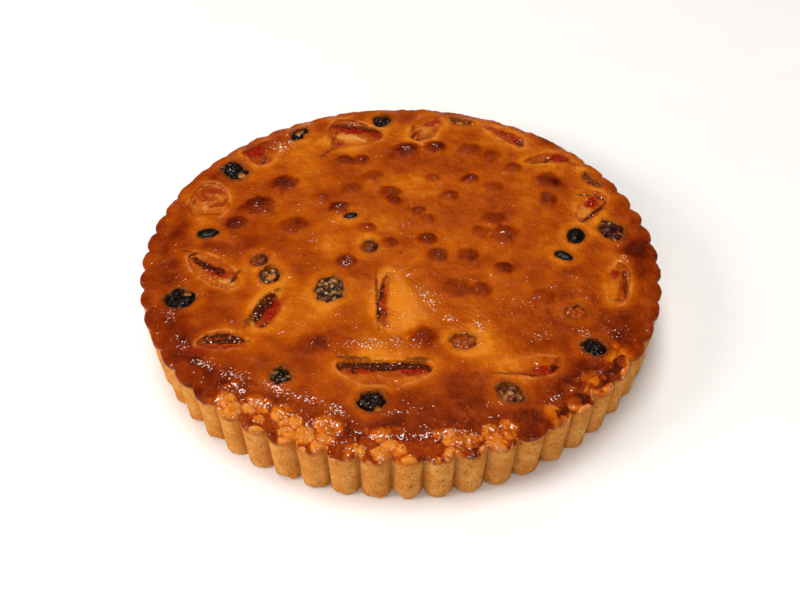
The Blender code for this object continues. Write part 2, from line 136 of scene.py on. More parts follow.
# Marks that the fruit leaves on itself and on the custard round it: x, y, half length,
# half width, turn, strength.
RED_MARKS = (
    (-29, 115.5, 15, 3.6, -12, 1), (-16, 110.5, 6, 3.6, -40, 0.9), (-39.5, 98, 5, 2.6, 30, 0.8),
    (-88, 92.5, 7, 6.2, -20, 1), (-78, 98, 5, 2, -30, 0.4), (-109.5, 54.5, 8, 3, 0, 0.8),
    (-115.5, 50.5, 4.5, 2.6, -30, 0.75), (-104, 41.5, 6, 2.2, 20, 0.8), (-110, 46.5, 5, 2, 10, 0.65),
    (-98, -14.5, 9, 3.4, -40, 0.9), (-90, -17, 3, 2, 0, 0.5), (-65, -43.5, 9.5, 3.8, 64, 1),
    (-90, -69.6, 11, 1.9, 2, 1), (-99, -71.8, 6.5, 2.8, 15, 0.9), (-106, -71, 5, 2.4, -10, 0.5),
    (-9, -38, 16, 1.9, 93, 0.75), (-18, -85, 9, 2.8, -16, 0.8), (-6, -88, 7, 2, 0, 0.7),
    (6, -85.5, 9, 3, 16, 1), (70, -85.2, 7, 2.8, 10, 0.95), (61, -87.3, 8, 1.2, -2, 0.6),
    (75, -80, 3, 1.6, 60, 0.6), (113.4, -16, 3.6, 3, 70, 0.9), (115.5, -28, 4, 1.6, 80, 0.45),
    (108.8, 44, 5, 3.4, 40, 0.95), (113, 39, 4, 1.4, 48, 0.6), (95, 86, 7, 3.6, -18, 1),
    (104, 79.5, 5, 1.6, -35, 0.7), (61.5, 111.8, 12, 2.2, -36, 0.9), (69.5, 105.8, 5, 2.8, -52, 0.9),
    (19, 121.6, 6, 2.4, 18, 0.95), (11, 112, 4, 1.6, 60, 0.5),
)
PALE_MARKS = (
    (-30.5, 106, 10, 4.6, -22, 1), (-77, 92, 6, 7, -20, 0.45), (-109.5, 45.5, 11, 14, 0, 0.45),
    (-91.5, -21.5, 6, 4, -30, 0.85), (-4, -38, 13, 5, 92, 0.55), (-7.5, -92, 9, 1.8, 0, 0.5),
    (62, -80, 9, 4, 10, 0.5), (112, -27, 10, 3, 80, 0.5), (104, 36, 7, 4.5, 55, 0.75),
    (109, 60.5, 5, 3, 0, 0.7), (106, 79, 5.5, 2.5, -35, 0.7), (57, 115.5, 6, 2.5, -40, 0.5),
    (15, 116, 6.5, 5, 62, 0.7),
)
# Dark marks: charred skin and edges, with painted shade in the gaps under the custard's lip.
DARK_MARKS = (
    (-33, 119, 9, 2.6, -6, 0.72), (-19, 116.3, 9, 2.2, -22, 0.8), (-44.5, 91, 7, 0.9, 52, 0.8),
    (-40.5, 106, 9, 0.8, 80, 0.45), (-93, 95, 5, 1.4, 60, 0.5), (-82, 83.5, 6, 1, 70, 0.6),
    (-87, 99, 8, 1.2, 28, 0.5), (-112, 59.5, 4, 0.9, 20, 0.6), (-100.5, 47, 1.6, 0.7, 60, 0.6),
    (-118, 45, 3, 0.7, 80, 0.6), (-107, 33.5, 6, 0.7, 5, 0.5), (-105, -8.4, 12, 2.2, -38, 1),
    (-97.5, -12.6, 5, 2.4, -30, 0.9), (-87.6, -18.5, 5.5, 1.1, 62, 0.9), (-115, 1, 4.5, 1, -20, 0.8),
    (-95, -25.6, 6, 0.8, -25, 0.6), (-71.5, -43.5, 13.5, 3, 59, 1), (-66, -31, 5, 1.2, 50, 0.9),
    (-69.5, -54.5, 3, 1, 30, 0.8), (-87, -65.4, 10.5, 1.7, 4, 1), (-84, -63, 4.2, 2, 20, 1),
    (-78.5, -64.5, 5, 0.9, -28, 0.9), (-12.3, -36, 20, 0.9, 93, 0.95), (-20, -79.6, 9.5, 2.6, -15, 1),
    (-7.5, -82.9, 7.5, 2.9, 0, 1), (4.5, -80.4, 9, 2.6, 13, 1), (-28, -78, 3.5, 1, -20, 0.9),
    (75.3, -83.3, 2.4, 2, 60, 0.95), (58, -88.4, 14, 0.6, -3, 0.85), (77, -78, 3, 0.6, 65, 0.6),
    (118.2, -23, 13, 1.2, 84, 0.75), (113, -35.5, 3, 0.7, 0, 0.5), (109.6, 36.3, 12.5, 0.9, 49, 0.95),
    (105.5, 51, 6, 0.7, -4, 0.85), (114.5, 49, 4, 1, -35, 0.8), (82.5, 82, 7, 1.3, 22, 1),
    (89, 85.5, 3, 1, 10, 0.8), (98.5, 83, 3, 0.6, -20, 0.5), (72, 101.8, 3, 1.5, -55, 0.8),
    (53, 117, 5, 0.6, -20, 0.5), (8, 109, 4.5, 1.2, 70, 0.8), (7.5, 117, 4, 0.9, 80, 0.6),
    (12, 105.5, 5, 0.9, 20, 0.6),
)
FILM_MARKS = (
    (-26.5, 99, 9, 4, -40, 0.7), (9.5, -40, 14, 5, 70, 0.8), (-5.5, -90, 9, 4, 0, 0.8),
)

# Strawberry pieces, in the order of their nodes. The custard stands as a lip on one side
# of each piece, and runs over it as a film on the other: the side of the lip, how deep
# the face lies under it, how much of the piece is under film, how pale the flesh is, and
# how far from the film's side a dark band starts, if it has one. That band is charred skin
# with painted shade under the lip.
STRAWBERRY_LOOKS = (
    (75, 1.5, 0.1, 0.35, None), (200, 1.2, 0.3, 0.1, None), (100, 0.9, 0.15, 0.75, None),
    (60, 1.9, 0.15, 0.45, None), (160, 1.8, 0.1, 0.15, 0.56), (85, 2, 0.35, 0.2, 0.52),
    (180, 1.6, 0.55, 0.45, 0.86), (90, 2.3, 0.35, 0.2, 0.6), (285, 1.5, 0.55, 0.3, None),
    (0, 1.6, 0.35, 0.45, None), (320, 1.5, 0.25, 0.45, None), (130, 1.6, 0.15, 0.35, None),
    (240, 1.1, 0.3, 0.25, None), (300, 1.2, 0.25, 0.6, None),
)

# Dark berries, in the order of their nodes: how reddish the skin is, how much grey-brown
# film lies over it, how much custard veils it, and its split core, if any, as x and y
# from its middle and a radius.
DARK_BERRY_LOOKS = (
    (0.15, 0, 0, None), (0, 0, 0, (4, -3.6, 2.3)), (0, 0, 0, (3.4, 2.6, 2.1)), (0.2, 0.55, 0, None),
    (0.1, 0, 0, (3.6, -5.6, 2.2)), (0, 0, 0, None), (0.9, 0.5, 0.38, None), (0.9, 0.4, 0.64, None),
    (0.9, 0.2, 0.1, None), (0, 0.4, 0.35, (0.6, -1.2, 2.4)), (0, 0.1, 0, (-1, 1.5, 2)),
    (0, 0.4, 0.45, (-1.6, 0, 2)), (0, 0.4, 0.45, None), (0.5, 0.4, 0.97, None), (0, 0.08, 0, None),
)

# Blueberries, in the order of their nodes: whether a film of custard covers each.
BLUEBERRY_LOOKS = ((False,), (False,), (False,), (True,), (False,), (True,))

# Places where the glaze stands in beads and glitters: x, y, half length, half width,
# turn, strength.
GLITTER = (
    (-29.5, -7.5, 6, 5, 0, 0.8), (-1.5, -12.5, 3, 7, 0, 0.8), (11.5, -32, 17, 3.5, -63, 1),
    (25.5, -51, 6, 5, 0, 0.9), (40.5, -54.5, 4, 7, 0, 0.9), (-11.5, -67.5, 22, 5, 0, 1),
    (-109, -67.5, 9, 4, -58, 0.9), (-96, -80.5, 9, 4, -31, 1), (-79, -88, 11, 4.5, -22, 1),
    (-59, -97, 11, 4.5, -24, 1), (-43.5, -103, 8, 3.5, -18, 1), (-30.5, -110, 8, 4.5, -38, 1),
    (-0.5, -111.5, 16, 1.3, 14, 1), (25.5, -123.5, 6, 5, 0, 1), (69, -61.5, 9, 6, 0, 0.8),
    (121, -3.5, 4, 4, 0, 0.8), (-71, 97, 9, 9, 0, 0.9), (-117, -48, 7, 5, -60, 0.8),
    (75, -101, 10, 1.8, 35, 1), (-27.5, 121.5, 12, 2.5, -15, 0.7), (45, -107, 14, 3, 20, 0.65),
    (-35.5, -29, 9, 9, 0, 0.5), (-59, -59.5, 5, 2, 60, 0.6), (60, -38, 20, 8, 30, 0.55),
    (92, -60, 5, 7, 0, 0.9), (99, -84, 10, 2.5, 40, 0.85), (112, -60, 6, 3, 60, 0.8),
    (80, -26, 9, 4, 20, 0.6), (17, -36, 7, 9, 0, 0.75), (-48, 10, 5, 4, 0, 0.6),
)

# Lamps: name, kind, place in metres, width (in metres, or in degrees for the sun), power
# and colour.
LAMPS = (
    ("key", "AREA", (-1.05, -0.35, 0.72), 0.5, 8.5, (1.0, 0.91, 0.80)),
    ("overhead", "SUN", (-0.12, 0.16, 1.30), 32.0, 2.0, (1.0, 0.95, 0.88)),
    ("front", "AREA", (-0.30, -1.20, 0.90), 0.5, 6.3, (1.0, 0.91, 0.80)),
    ("side", "AREA", (0.95, -0.35, 0.70), 0.4, 1.4, (1.0, 0.88, 0.74)),
    ("glint_back", "AREA", (0.06, 0.72, 0.92), 0.32, 2.0, (1.0, 0.90, 0.76)),
)
WORLD_COLOUR = (1.0, 0.97, 0.93, 1.0)
WORLD_STRENGTH = 0.02

# Camera and floor: metres and degrees, with the lens in pixels of an image 800 wide and
# the sensor in millimetres.
IMAGE_WIDTH = 800.0
LENS_PIXELS = 1077.0
SENSOR_WIDTH = 36.0
CAMERA_ELEVATION = 44.07
CAMERA_DISTANCE = 0.6057
CAMERA_TARGET = (-0.00043, -0.00155, 0.0)
FLOOR_HALF = 12.0
FLOOR_DROP = 0.0003


# ---------------------------------------------------------------- small numeric helpers

def srgb(red, green, blue):
    """A display colour from 0 to 255 as the linear values that shaders take."""
    parts = np.array([red, green, blue]) / 255.0
    linear = np.where(parts <= 0.04045, parts / 12.92, ((parts + 0.055) / 1.055) ** 2.4)
    return (*[float(part) for part in linear], 1.0)


def unit(value):
    """A value kept between 0 and 1."""
    return np.clip(value, 0.0, 1.0)


def smooth(low, high, value):
    """0 below low, 1 above high, and a soft step between."""
    share = unit((value - low) / (high - low))
    return share * share * (3.0 - 2.0 * share)


def bell(value, middle, width):
    """1 where a value is at the middle, and less on both sides."""
    return np.exp(-((value - middle) / width) ** 2)


def field(x, y, width, seed):
    """Smooth noise from about -1 to 1 whose features are about this wide."""
    return np.fromiter((noise.noise((a, b, seed)) for a, b in zip(x / width, y / width)),
                       float, len(x))


def rough_field(x, y, width, seed, octaves=3):
    """Smooth noise with finer and fainter noises laid over it."""
    total = np.zeros(len(x))
    for octave in range(octaves):
        total += 0.5 ** octave * field(x, y, width * 0.5 ** octave, seed + 7.3 * octave)
    return total


def rim_noise(angle, width, seed, octaves):
    """Noise along the rim, whose features are this many degrees wide."""
    return rough_field(angle, 0.0 * angle, width, seed, octaves)


def edge_wrinkles(x, y):
    """Wrinkles that the custard has only near its edge."""
    return smooth(122.0, 132.0, np.hypot(x, y)) * 0.5 * rough_field(x, y, 6.0, 21.0)


def nuggets(x, y, width, seed):
    """Rounded crumbs about this wide: 1 on their tops and 0 in the grooves between."""
    tops = np.empty(len(x))
    for i, (a, b) in enumerate(zip(x / width, y / width)):
        near = noise.voronoi((a, b, seed))[0]
        tops[i] = max(0.0, 1.0 - (near[0] / 0.62) ** 2) * min(1.0, 2.6 * (near[1] - near[0]))
    return np.sqrt(tops)


def ellipse_distance(x, y, shape):
    """1 on an ellipse, less inside and more outside. Its shape is its middle's x and y,
    its half length, half width and turn."""
    middle_x, middle_y, half_length, half_width, turn = shape
    angle = math.radians(turn)
    dx, dy = x - middle_x, y - middle_y
    along = (dx * math.cos(angle) + dy * math.sin(angle)) / half_length
    across = (dy * math.cos(angle) - dx * math.sin(angle)) / half_width
    return np.hypot(along, across)


def blister_distance(x, y, blister, length, width=1.0):
    """1 on the edge of a blister that is this much longer and wider than its radius."""
    middle_x, middle_y, size = blister[:3]
    return ellipse_distance(x, y, (middle_x, middle_y, length * size, width * size, 20.0))


def hump(x, y, shape, sharpness):
    """1 in the middle of an ellipse, and softly less away from it."""
    return np.exp(-sharpness * ellipse_distance(x, y, shape) ** 2)


def marks(table, x, y, edge, ragged, seed):
    """How strongly any mark of a table covers each point; edge is how soft they end."""
    shift = ragged * rough_field(x, y, 2.6, seed, 2)
    cover = np.zeros(len(x))
    for *shape, strength in table:
        near = np.hypot(x - shape[0], y - shape[1]) < 2.2 * shape[2] + 3.0
        away = ellipse_distance(x[near], y[near], shape) + shift[near]
        cover[near] = np.maximum(cover[near], strength * smooth(1.0 + edge, 1.0 - edge, away))
    return cover


def angle_apart(angle, other):
    return np.abs((angle - other + 180.0) % 360.0 - 180.0)


def add_object(name, data):
    made = bpy.data.objects.new(name, data)
    bpy.context.scene.collection.objects.link(made)
    return made


# ---------------------------------------------------------------- fruit outlines

def node_outline(node):
    """The longest loop of edges round the upward faces of a fruit's solid."""
    mesh = node.data
    spots = np.empty(3 * len(mesh.vertices))
    mesh.vertices.foreach_get("co", spots)
    spots = np.round(spots.reshape(-1, 3) / MM, 3)
    merged, index = np.unique(spots, axis=0, return_inverse=True)
    index = index.ravel()
    upward = set()
    for face in mesh.polygons:
        if face.normal.z > 0.05:
            corners = [index[i] for i in face.vertices]
            upward.update(zip(corners, corners[1:] + corners[:1]))
    ahead = {a: b for a, b in upward if (b, a) not in upward}
    loop = []
    while ahead:
        walk = []
        current = next(iter(ahead))
        while current in ahead:
            walk.append(current)
            current = ahead.pop(current)
        loop = max(loop, walk, key=len)
    return merged[loop, :2]


def closed_curve(points, steps):
    """A smooth closed curve through points, with this many steps between them."""
    before, after, later = (np.roll(points, shift, axis=0) for shift in (1, -1, -2))
    curve = []
    for share in np.arange(steps) / steps:
        square, cube = share ** 2, share ** 3
        curve.append(0.5 * (2.0 * points + (after - before) * share
                            + (2.0 * before - 5.0 * points + 4.0 * after - later) * square
                            + (3.0 * points - before - 3.0 * after + later) * cube))
    return np.stack(curve, 1).reshape(-1, 2)


class Fruit:
    """A fruit's outline and the measures that its look is made from."""

    def __init__(self, name, look, lobed, ragged):
        self.name = name
        self.look = look
        points = node_outline(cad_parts[name])
        if lobed:
            points = (np.roll(points, 1, axis=0) + 2.0 * points + np.roll(points, -1, axis=0)) / 4.0
        outline = closed_curve(points, 8)
        spokes = outline - outline.mean(0)
        wave = ragged * rough_field(outline[:, 0], outline[:, 1], 4.0, 131.0)
        self.outline = outline + spokes * (wave / np.hypot(*spokes.T))[:, None]
        self.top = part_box(name)[1].z / MM
        following = np.roll(self.outline, -1, axis=0)
        areas = np.cross(self.outline, following) / 2.0
        self.centre = ((self.outline + following) * areas[:, None]).sum(0) / (3.0 * areas.sum())
        self.reach = np.hypot(*(self.outline - self.centre).T).max()

    def distance(self, x, y):
        """How far the outline is, below zero inside, and the nearest point on it."""
        start = self.outline
        ends = np.roll(start, -1, axis=0)
        leg = ends - start
        spots = np.stack([x, y], 1)[:, None, :]
        along = ((spots - start) * leg).sum(2) / (leg ** 2).sum(1)
        nearest = start + unit(along)[..., None] * leg
        gaps = np.hypot(*np.moveaxis(spots - nearest, 2, 0))
        best = gaps.argmin(1)
        rows = np.arange(len(x))
        crossing = np.zeros(len(x), bool)
        for (x0, y0), (x1, y1) in zip(start, ends):
            spans = (y0 > y) != (y1 > y)
            level = x0 + (y - y0) * (x1 - x0) / (y1 - y0 if y1 != y0 else 1e-9)
            crossing ^= spans & (x < level)
        gap = gaps[rows, best]
        return np.where(crossing, -gap, gap), nearest[rows, best]

    def inside_outside(self, x, y):
        """How far each point lies inside the outline, and how far outside."""
        gap = self.distance(x, y)[0]
        return np.maximum(-gap, 0.0), np.maximum(gap, 0.0)

    def towards_lip(self, x, y):
        """0 on the side where the custard runs over the fruit, 1 on the lip's side."""
        side = math.radians(self.look["lip_side"])
        heading = np.array([math.cos(side), math.sin(side)])
        reach = (self.outline - self.centre) @ heading
        across = (x - self.centre[0]) * heading[0] + (y - self.centre[1]) * heading[1]
        return (across - reach.min()) / (reach.max() - reach.min())

    def rise(self):
        """How far the fruit's top stands over the custard at its middle."""
        return self.top - float(custard_base(self.centre[:1], self.centre[1:])[0])


def fruits(kind, columns, table, lobed, ragged):
    """Every fruit of a kind, with its row of a table as its look."""
    names = sorted(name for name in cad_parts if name.startswith(kind))
    return [Fruit(name, dict(zip(columns, row)), lobed, ragged)
            for name, row in zip(names, table)]


STRAWBERRIES = fruits("strawberry", ("lip_side", "sink", "film", "pale", "dark"),
                      STRAWBERRY_LOOKS, False, 0.8)
DARK_BERRIES = fruits("dark_berry", ("red", "film", "veil", "core"), DARK_BERRY_LOOKS, True, 1.6)
BLUEBERRIES = fruits("blueberry", ("veiled",), BLUEBERRY_LOOKS, False, 0.4)


# ---------------------------------------------------------------- heights and rims

def custard_base(x, y):
    """The custard's surface as the solid has it: crown, pillows, mounds and blisters."""
    radius = np.hypot(x, y)
    height = EDGE_HEIGHT + CROWN * np.maximum(0.0, 1.0 - (radius / CROWN_RADIUS) ** 2) ** 0.6
    inside = unit((CROWN_RADIUS - radius) / (CROWN_RADIUS - SHOULDER_RADIUS))
    height += inside * 0.9 * field(x, y, PILLOW_WIDTH, 0.7)
    height += inside * 0.45 * field(x, y, PILLOW_WIDTH / 2.3, 0.7 * 2.3)
    height += 1.3 * bell(radius, 131.0, 7.0) * smooth(0.2, 0.8, y / np.maximum(radius, 1.0))
    for *shape, rise in MOUNDS:
        height += rise * hump(x, y, shape, 1.6)
    for blister in BLISTERS:
        away = blister_distance(x, y, blister, 1.1)
        height += 1.1 * blister[3] * np.maximum(0.0, 1.0 - away ** 2) ** 1.3
    return height


def custard_edge(angle):
    """Radius of the custard's edge, which fills most of the dip between two flutes."""
    crest = RIM_RADIUS - 0.05
    wall = wall_radius(angle, np.full(len(angle), EDGE_HEIGHT))
    fill = 0.42 + 0.40 * smooth(75.0, 35.0, angle_apart(angle, 90.0))
    fill += 0.5 * rim_noise(0.35 * angle, 4.0, 5.5, 1)
    ragged = 0.25 + 0.5 * np.abs(rim_noise(angle, 2.2, 4.4, 2))
    return wall + np.clip(fill, 0.15, 0.95) * (crest - wall) - ragged


def flute_phase(angle):
    """0 on a crest and 1 in the dip between two flutes."""
    turn = (angle - FIRST_CREST) * FLUTES / 360.0
    return np.abs((turn + 0.5) % 1.0 - 0.5) * 2.0


def wall_radius(angle, height):
    """The fluted wall's radius: each flute is a round arc between two sharp valleys."""
    share = height / RIM_HEIGHT
    crest = BASE_RADIUS + (RIM_RADIUS - BASE_RADIUS) * share
    flute = np.round((angle - FIRST_CREST) * FLUTES / 360.0) % FLUTES
    depth = FLUTE_DEPTH_BASE + (FLUTE_DEPTH_RIM - FLUTE_DEPTH_BASE) * share
    depth = depth * (1.0 + 0.12 * field(1.7 * flute, 0.4 + 0.0 * flute, 1.0, 0.0))
    half_width = math.pi * crest / FLUTES
    arc = (half_width ** 2 + depth ** 2) / (2.0 * depth)
    across = flute_phase(angle) * half_width
    return crest - (arc - np.sqrt(arc ** 2 - across ** 2))


def bare_depth(x, y):
    """How far inside a bare stretch of rim a point lies, with a crumbly border."""
    radius = np.hypot(x, y)
    angle = np.degrees(np.arctan2(y, x))
    best = np.full(len(x), -30.0)
    for middle, half, inner in BARE_RIM:
        along = (half - angle_apart(angle, middle)) * math.radians(RIM_RADIUS)
        best = np.maximum(best, np.minimum(radius - inner, along))
    return best + 3.2 * rough_field(x, y, 7.0, 141.0)


# ---------------------------------------------------------------- mesh building

def circle(radius, angle, height):
    turn = np.radians(angle)
    return np.stack([radius * np.cos(turn), radius * np.sin(turn), height + 0.0 * turn], 1)


def column_angles(count=COLUMNS):
    return FIRST_CREST + np.arange(count) * 360.0 / count


class Sheet:
    """Rings of points joined by triangles, each ring with the same or half the points."""

    def __init__(self):
        self.points = []
        self.triangles = []
        self.count = 0

    def ring(self, points):
        start = self.count
        self.points.append(points)
        self.count += len(points)
        return np.arange(start, self.count)

    def band(self, inner, outer):
        """Joins two rings, with the faces' fronts up where inner lies inside outer."""
        count = max(len(inner), len(outer))
        i = np.arange(count)
        a = inner[i * len(inner) // count]
        b = inner[(i + 1) * len(inner) // count % len(inner)]
        c = outer[(i + 1) * len(outer) // count % len(outer)]
        d = outer[i * len(outer) // count]
        for made in (np.stack([a, d, c], 1), np.stack([a, c, b], 1)):
            whole = (made[:, 0] != made[:, 1]) & (made[:, 1] != made[:, 2]) \
                & (made[:, 0] != made[:, 2])
            self.triangles.append(made[whole])

    def bands(self, rings):
        for inner, outer in zip(rings, rings[1:]):
            self.band(inner, outer)

    def fan(self, ring, centre, outward=True):
        tip = self.ring(np.array([centre]))[0]
        made = np.stack([np.full(len(ring), tip), ring, np.roll(ring, -1)], 1)
        self.triangles.append(made if outward else made[:, ::-1])

    def carry_on(self, last, loops, upward=False):
        """Goes on from a ring through more rings, and returns the last of them."""
        for points in loops:
            following = self.ring(points)
            self.band(*((following, last) if upward else (last, following)))
            last = following
        return last

    def close(self, last, stops, upward):
        """Goes on through plain rings, each a radius, height and count, to a fan at the
        middle whose front faces up or down."""
        loops = [circle(radius, column_angles(count), height)
                 for radius, height, count in stops]
        self.fan(self.carry_on(last, loops, upward), (0.0, 0.0, stops[-1][1]), upward)

    def build(self, name, attributes, finish):
        """The sheet as an object. Points past the end of an attribute's values get 0."""
        mesh = bpy.data.meshes.new(name)
        mesh.from_pydata(np.concatenate(self.points) * MM, [], np.concatenate(self.triangles))
        mesh.shade_smooth()
        for key, values in attributes.items():
            whole = np.zeros(self.count, np.float32)
            whole[:len(values)] = values
            mesh.attributes.new(key, "FLOAT", "POINT").data.foreach_set("value", whole)
        mesh.materials.append(finish)
        return add_object(name, mesh)


def sharpen(mesh, spots):
    """Makes the edges between any two of these points sharp, for the brink of a bed."""
    ends = np.empty(2 * len(mesh.edges), np.int32)
    mesh.edges.foreach_get("vertices", ends)
    chosen = np.zeros(len(mesh.vertices), bool)
    chosen[spots] = True
    sharp = chosen[ends.reshape(-1, 2)].all(1)
    mesh.attributes.new("sharp_edge", "BOOLEAN", "EDGE").data.foreach_set("value", sharp)


# ---------------------------------------------------------------- shader helpers

class Shader:
    """A material's node tree, with short calls for the nodes that the finishes share."""

    def __init__(self, name):
        self.material = bpy.data.materials.new(name)
        self.material.use_nodes = True
        self.tree = self.material.node_tree
        self.surface = self.tree.nodes["Principled BSDF"]
        place = self.node("TexCoord").outputs["Object"]
        scale = self.node("VectorMath", operation="SCALE", Scale=1.0 / MM)
        self.put(scale.inputs[0], place)
        self.place = scale.outputs[0]

    def node(self, kind, **settings):
        """A new node. Settings with a capital are sockets, and the others properties."""
        made = self.tree.nodes.new("ShaderNode" + kind)
        for key, value in settings.items():
            if key[0].isupper():
                self.put(made.inputs[key.replace("_", " ")], value)
            else:
                setattr(made, key, value)
        return made

    def put(self, socket, value):
        """Gives a socket a link, a number or a display colour."""
        if isinstance(value, bpy.types.NodeSocket):
            self.tree.links.new(value, socket)
        else:
            socket.default_value = srgb(*value) if isinstance(value, tuple) else value

    def attribute(self, name):
        return self.node("Attribute", attribute_name=name).outputs["Fac"]

    def noise(self, width, detail=3.0, roughness=0.5, distortion=0.0):
        return self.node("TexNoise", Vector=self.place, Scale=1.0 / width, Detail=detail,
                         Roughness=roughness, Distortion=distortion).outputs["Fac"]

    def cells(self, width):
        return self.node("TexVoronoi", Vector=self.place, Scale=1.0 / width).outputs["Distance"]

    def maths(self, operation, first, second):
        made = self.node("Math", operation=operation)
        self.put(made.inputs[0], first)
        self.put(made.inputs[1], second)
        return made.outputs[0]

    def times(self, first, second):
        return self.maths("MULTIPLY", first, second)

    def wobble(self, value, *waves):
        """A value pushed up and down by noises, each given with its reach."""
        for wave, reach in waves:
            centred = self.maths("SUBTRACT", wave, 0.5)
            value = self.maths("ADD", value, self.times(centred, reach))
        return value

    def spread(self, value, low, high, to_low=0.0, to_high=1.0):
        """A soft step between two values of another."""
        return self.node("MapRange", interpolation_type="SMOOTHSTEP", Value=value, From_Min=low,
                         From_Max=high, To_Min=to_low, To_Max=to_high).outputs["Result"]

    def ramp(self, value, *stops):
        made = self.node("ValToRGB", Fac=value)
        elements = made.color_ramp.elements
        while len(elements) < len(stops):
            elements.new(0.5)
        for element, (position, colour) in zip(elements, stops):
            element.position = position
            element.color = srgb(*colour)
        return made.outputs["Color"]

    def duo(self, value, dark, light):
        """Two colours, one in the low parts of a noise and one in the high parts."""
        return self.ramp(value, (0.3, dark), (0.7, light))

    def mix(self, share, first, second):
        made = self.node("Mix", data_type="RGBA", Factor=share)
        colours = [socket for socket in made.inputs if socket.type == "RGBA"]
        self.put(colours[0], first)
        self.put(colours[1], second)
        return [socket for socket in made.outputs if socket.type == "RGBA"][0]

    def lay(self, colour, name, over, share=1.0):
        """A colour laid over another as far as an attribute says."""
        cover = self.attribute(name)
        return self.mix(cover if share == 1.0 else self.times(cover, share), colour, over)

    def bump(self, height, strength, distance, **below):
        return self.node("Bump", Height=height, Strength=strength, Distance=distance * MM,
                         **below).outputs["Normal"]

    def finish(self, **values):
        """Sets the Principled sockets, such as base_color, roughness or coat_weight."""
        for key, value in values.items():
            label = key.replace("_", " ").title().replace("Ior", "IOR")
            self.put(self.surface.inputs[label], value)
        return self.material


# ---------------------------------------------------------------- materials

# The coat of the glaze: its high IOR makes the beads flash where they face a lamp.
BEADS = dict(coat_roughness=0.14, coat_ior=4.0)
WHITE = (255, 255, 255)
AMBER = (255, 176, 84)


def custard_colour(shader):
    """Golden orange that bakes to dark brown, mottled as custard's skin is."""
    baked = shader.wobble(shader.attribute("brown"), (shader.noise(7.0, 5.0, 0.60), 0.34),
                          (shader.noise(1.3, 4.0, 0.65), 0.40))
    return shader.ramp(
        baked, (0.0, (206, 118, 22)), (0.16, (184, 91, 5)), (0.34, (164, 70, 2)),
        (0.5, (144, 54, 2)), (0.66, (122, 38, 2)), (0.82, (92, 20, 2)), (1.0, (56, 8, 2)))


def sparkle(shader, share, normal):
    """Small beads of glaze, more of them where the share is high: how much glaze is at a
    point, and the normal of the beads, which catch the lamps on any slope."""
    beads = shader.noise(1.25, 1.0, 0.4)
    points = shader.wobble(beads, (shader.noise(5.0, 2.0), 0.36))
    points = shader.maths("ADD", points, shader.times(share, 0.34))
    points = shader.spread(points, 0.84, 0.88)
    strength = shader.maths("MAXIMUM", points, 0.12)
    return points, shader.bump(beads, strength, 0.75, Normal=normal)


def glazed(shader, colour, normal, roughness, reflection=WHITE):
    """A thin glaze over a colour. Where the attribute glitter is high it stands in beads,
    which catch the light as points."""
    points, beads = sparkle(shader, shader.attribute("glitter"), normal)
    thin = shader.times(shader.attribute("glaze"), 0.004)
    return shader.finish(base_color=colour, roughness=roughness, normal=normal,
                         coat_weight=shader.maths("MAXIMUM", thin, points), coat_normal=beads,
                         specular_ior_level=0.10, specular_tint=reflection, **BEADS)


def custard_material():
    shader = Shader("glazed_custard")
    colour = custard_colour(shader)
    mottle = shader.noise(2.4, 3.0, 0.6)
    colour = shader.lay(colour, "film", shader.duo(mottle, (72, 50, 24), (142, 92, 36)), 0.8)
    # Pale custard film, and the painted highlight line round the strawberries.
    colour = shader.lay(colour, "pale", (214, 132, 62), 0.7)
    colour = shader.lay(colour, "red", shader.duo(mottle, (112, 12, 3), (156, 36, 6)))
    # Char, which also carries the painted shade in the gaps under the lip.
    colour = shader.lay(colour, "char", shader.duo(mottle, (30, 8, 5), (70, 20, 10)))
    # Painted highlight: a faint pale sheen laid along the skin's folds.
    colour = shader.lay(colour, "crease", (214, 136, 72), 0.05)
    skin = shader.wobble(shader.noise(5.0, 5.0, 0.6), (shader.noise(1.3, 3.0, 0.6), 0.40))
    return glazed(shader, colour, shader.bump(skin, 0.75, 1.2), 0.30, AMBER)


def strawberry_material():
    shader = Shader("baked_strawberry")
    fibre = shader.noise(1.5, 4.0, 0.6, 0.5)
    pale = shader.wobble(shader.attribute("pale"), (fibre, 0.5), (shader.noise(4.0), 0.3))
    flesh = shader.ramp(pale, (0.0, (134, 44, 6)), (0.35, (166, 76, 14)),
                        (0.7, (192, 108, 36)), (1.0, (214, 146, 74)))
    skin = shader.ramp(fibre, (0.25, (92, 8, 2)), (0.5, (134, 18, 3)), (0.75, (176, 46, 8)))
    colour = shader.lay(flesh, "red", skin)
    seeds = shader.times(shader.spread(shader.cells(2.3), 0.26, 0.12),
                         shader.spread(shader.noise(3.0, 2.0), 0.45, 0.55))
    colour = shader.mix(shader.times(seeds, 0.7), colour, (58, 14, 4))
    colour = shader.lay(colour, "film", custard_colour(shader))
    # Charred skin, and painted shade under the custard's lip.
    colour = shader.lay(colour, "char", shader.ramp(
        fibre, (0.3, (26, 6, 3)), (0.52, (62, 16, 5)), (0.72, (116, 40, 10))))
    height = shader.maths("SUBTRACT", fibre, shader.times(seeds, 0.6))
    return glazed(shader, colour, shader.bump(height, 0.45, 0.7), 0.30, AMBER)


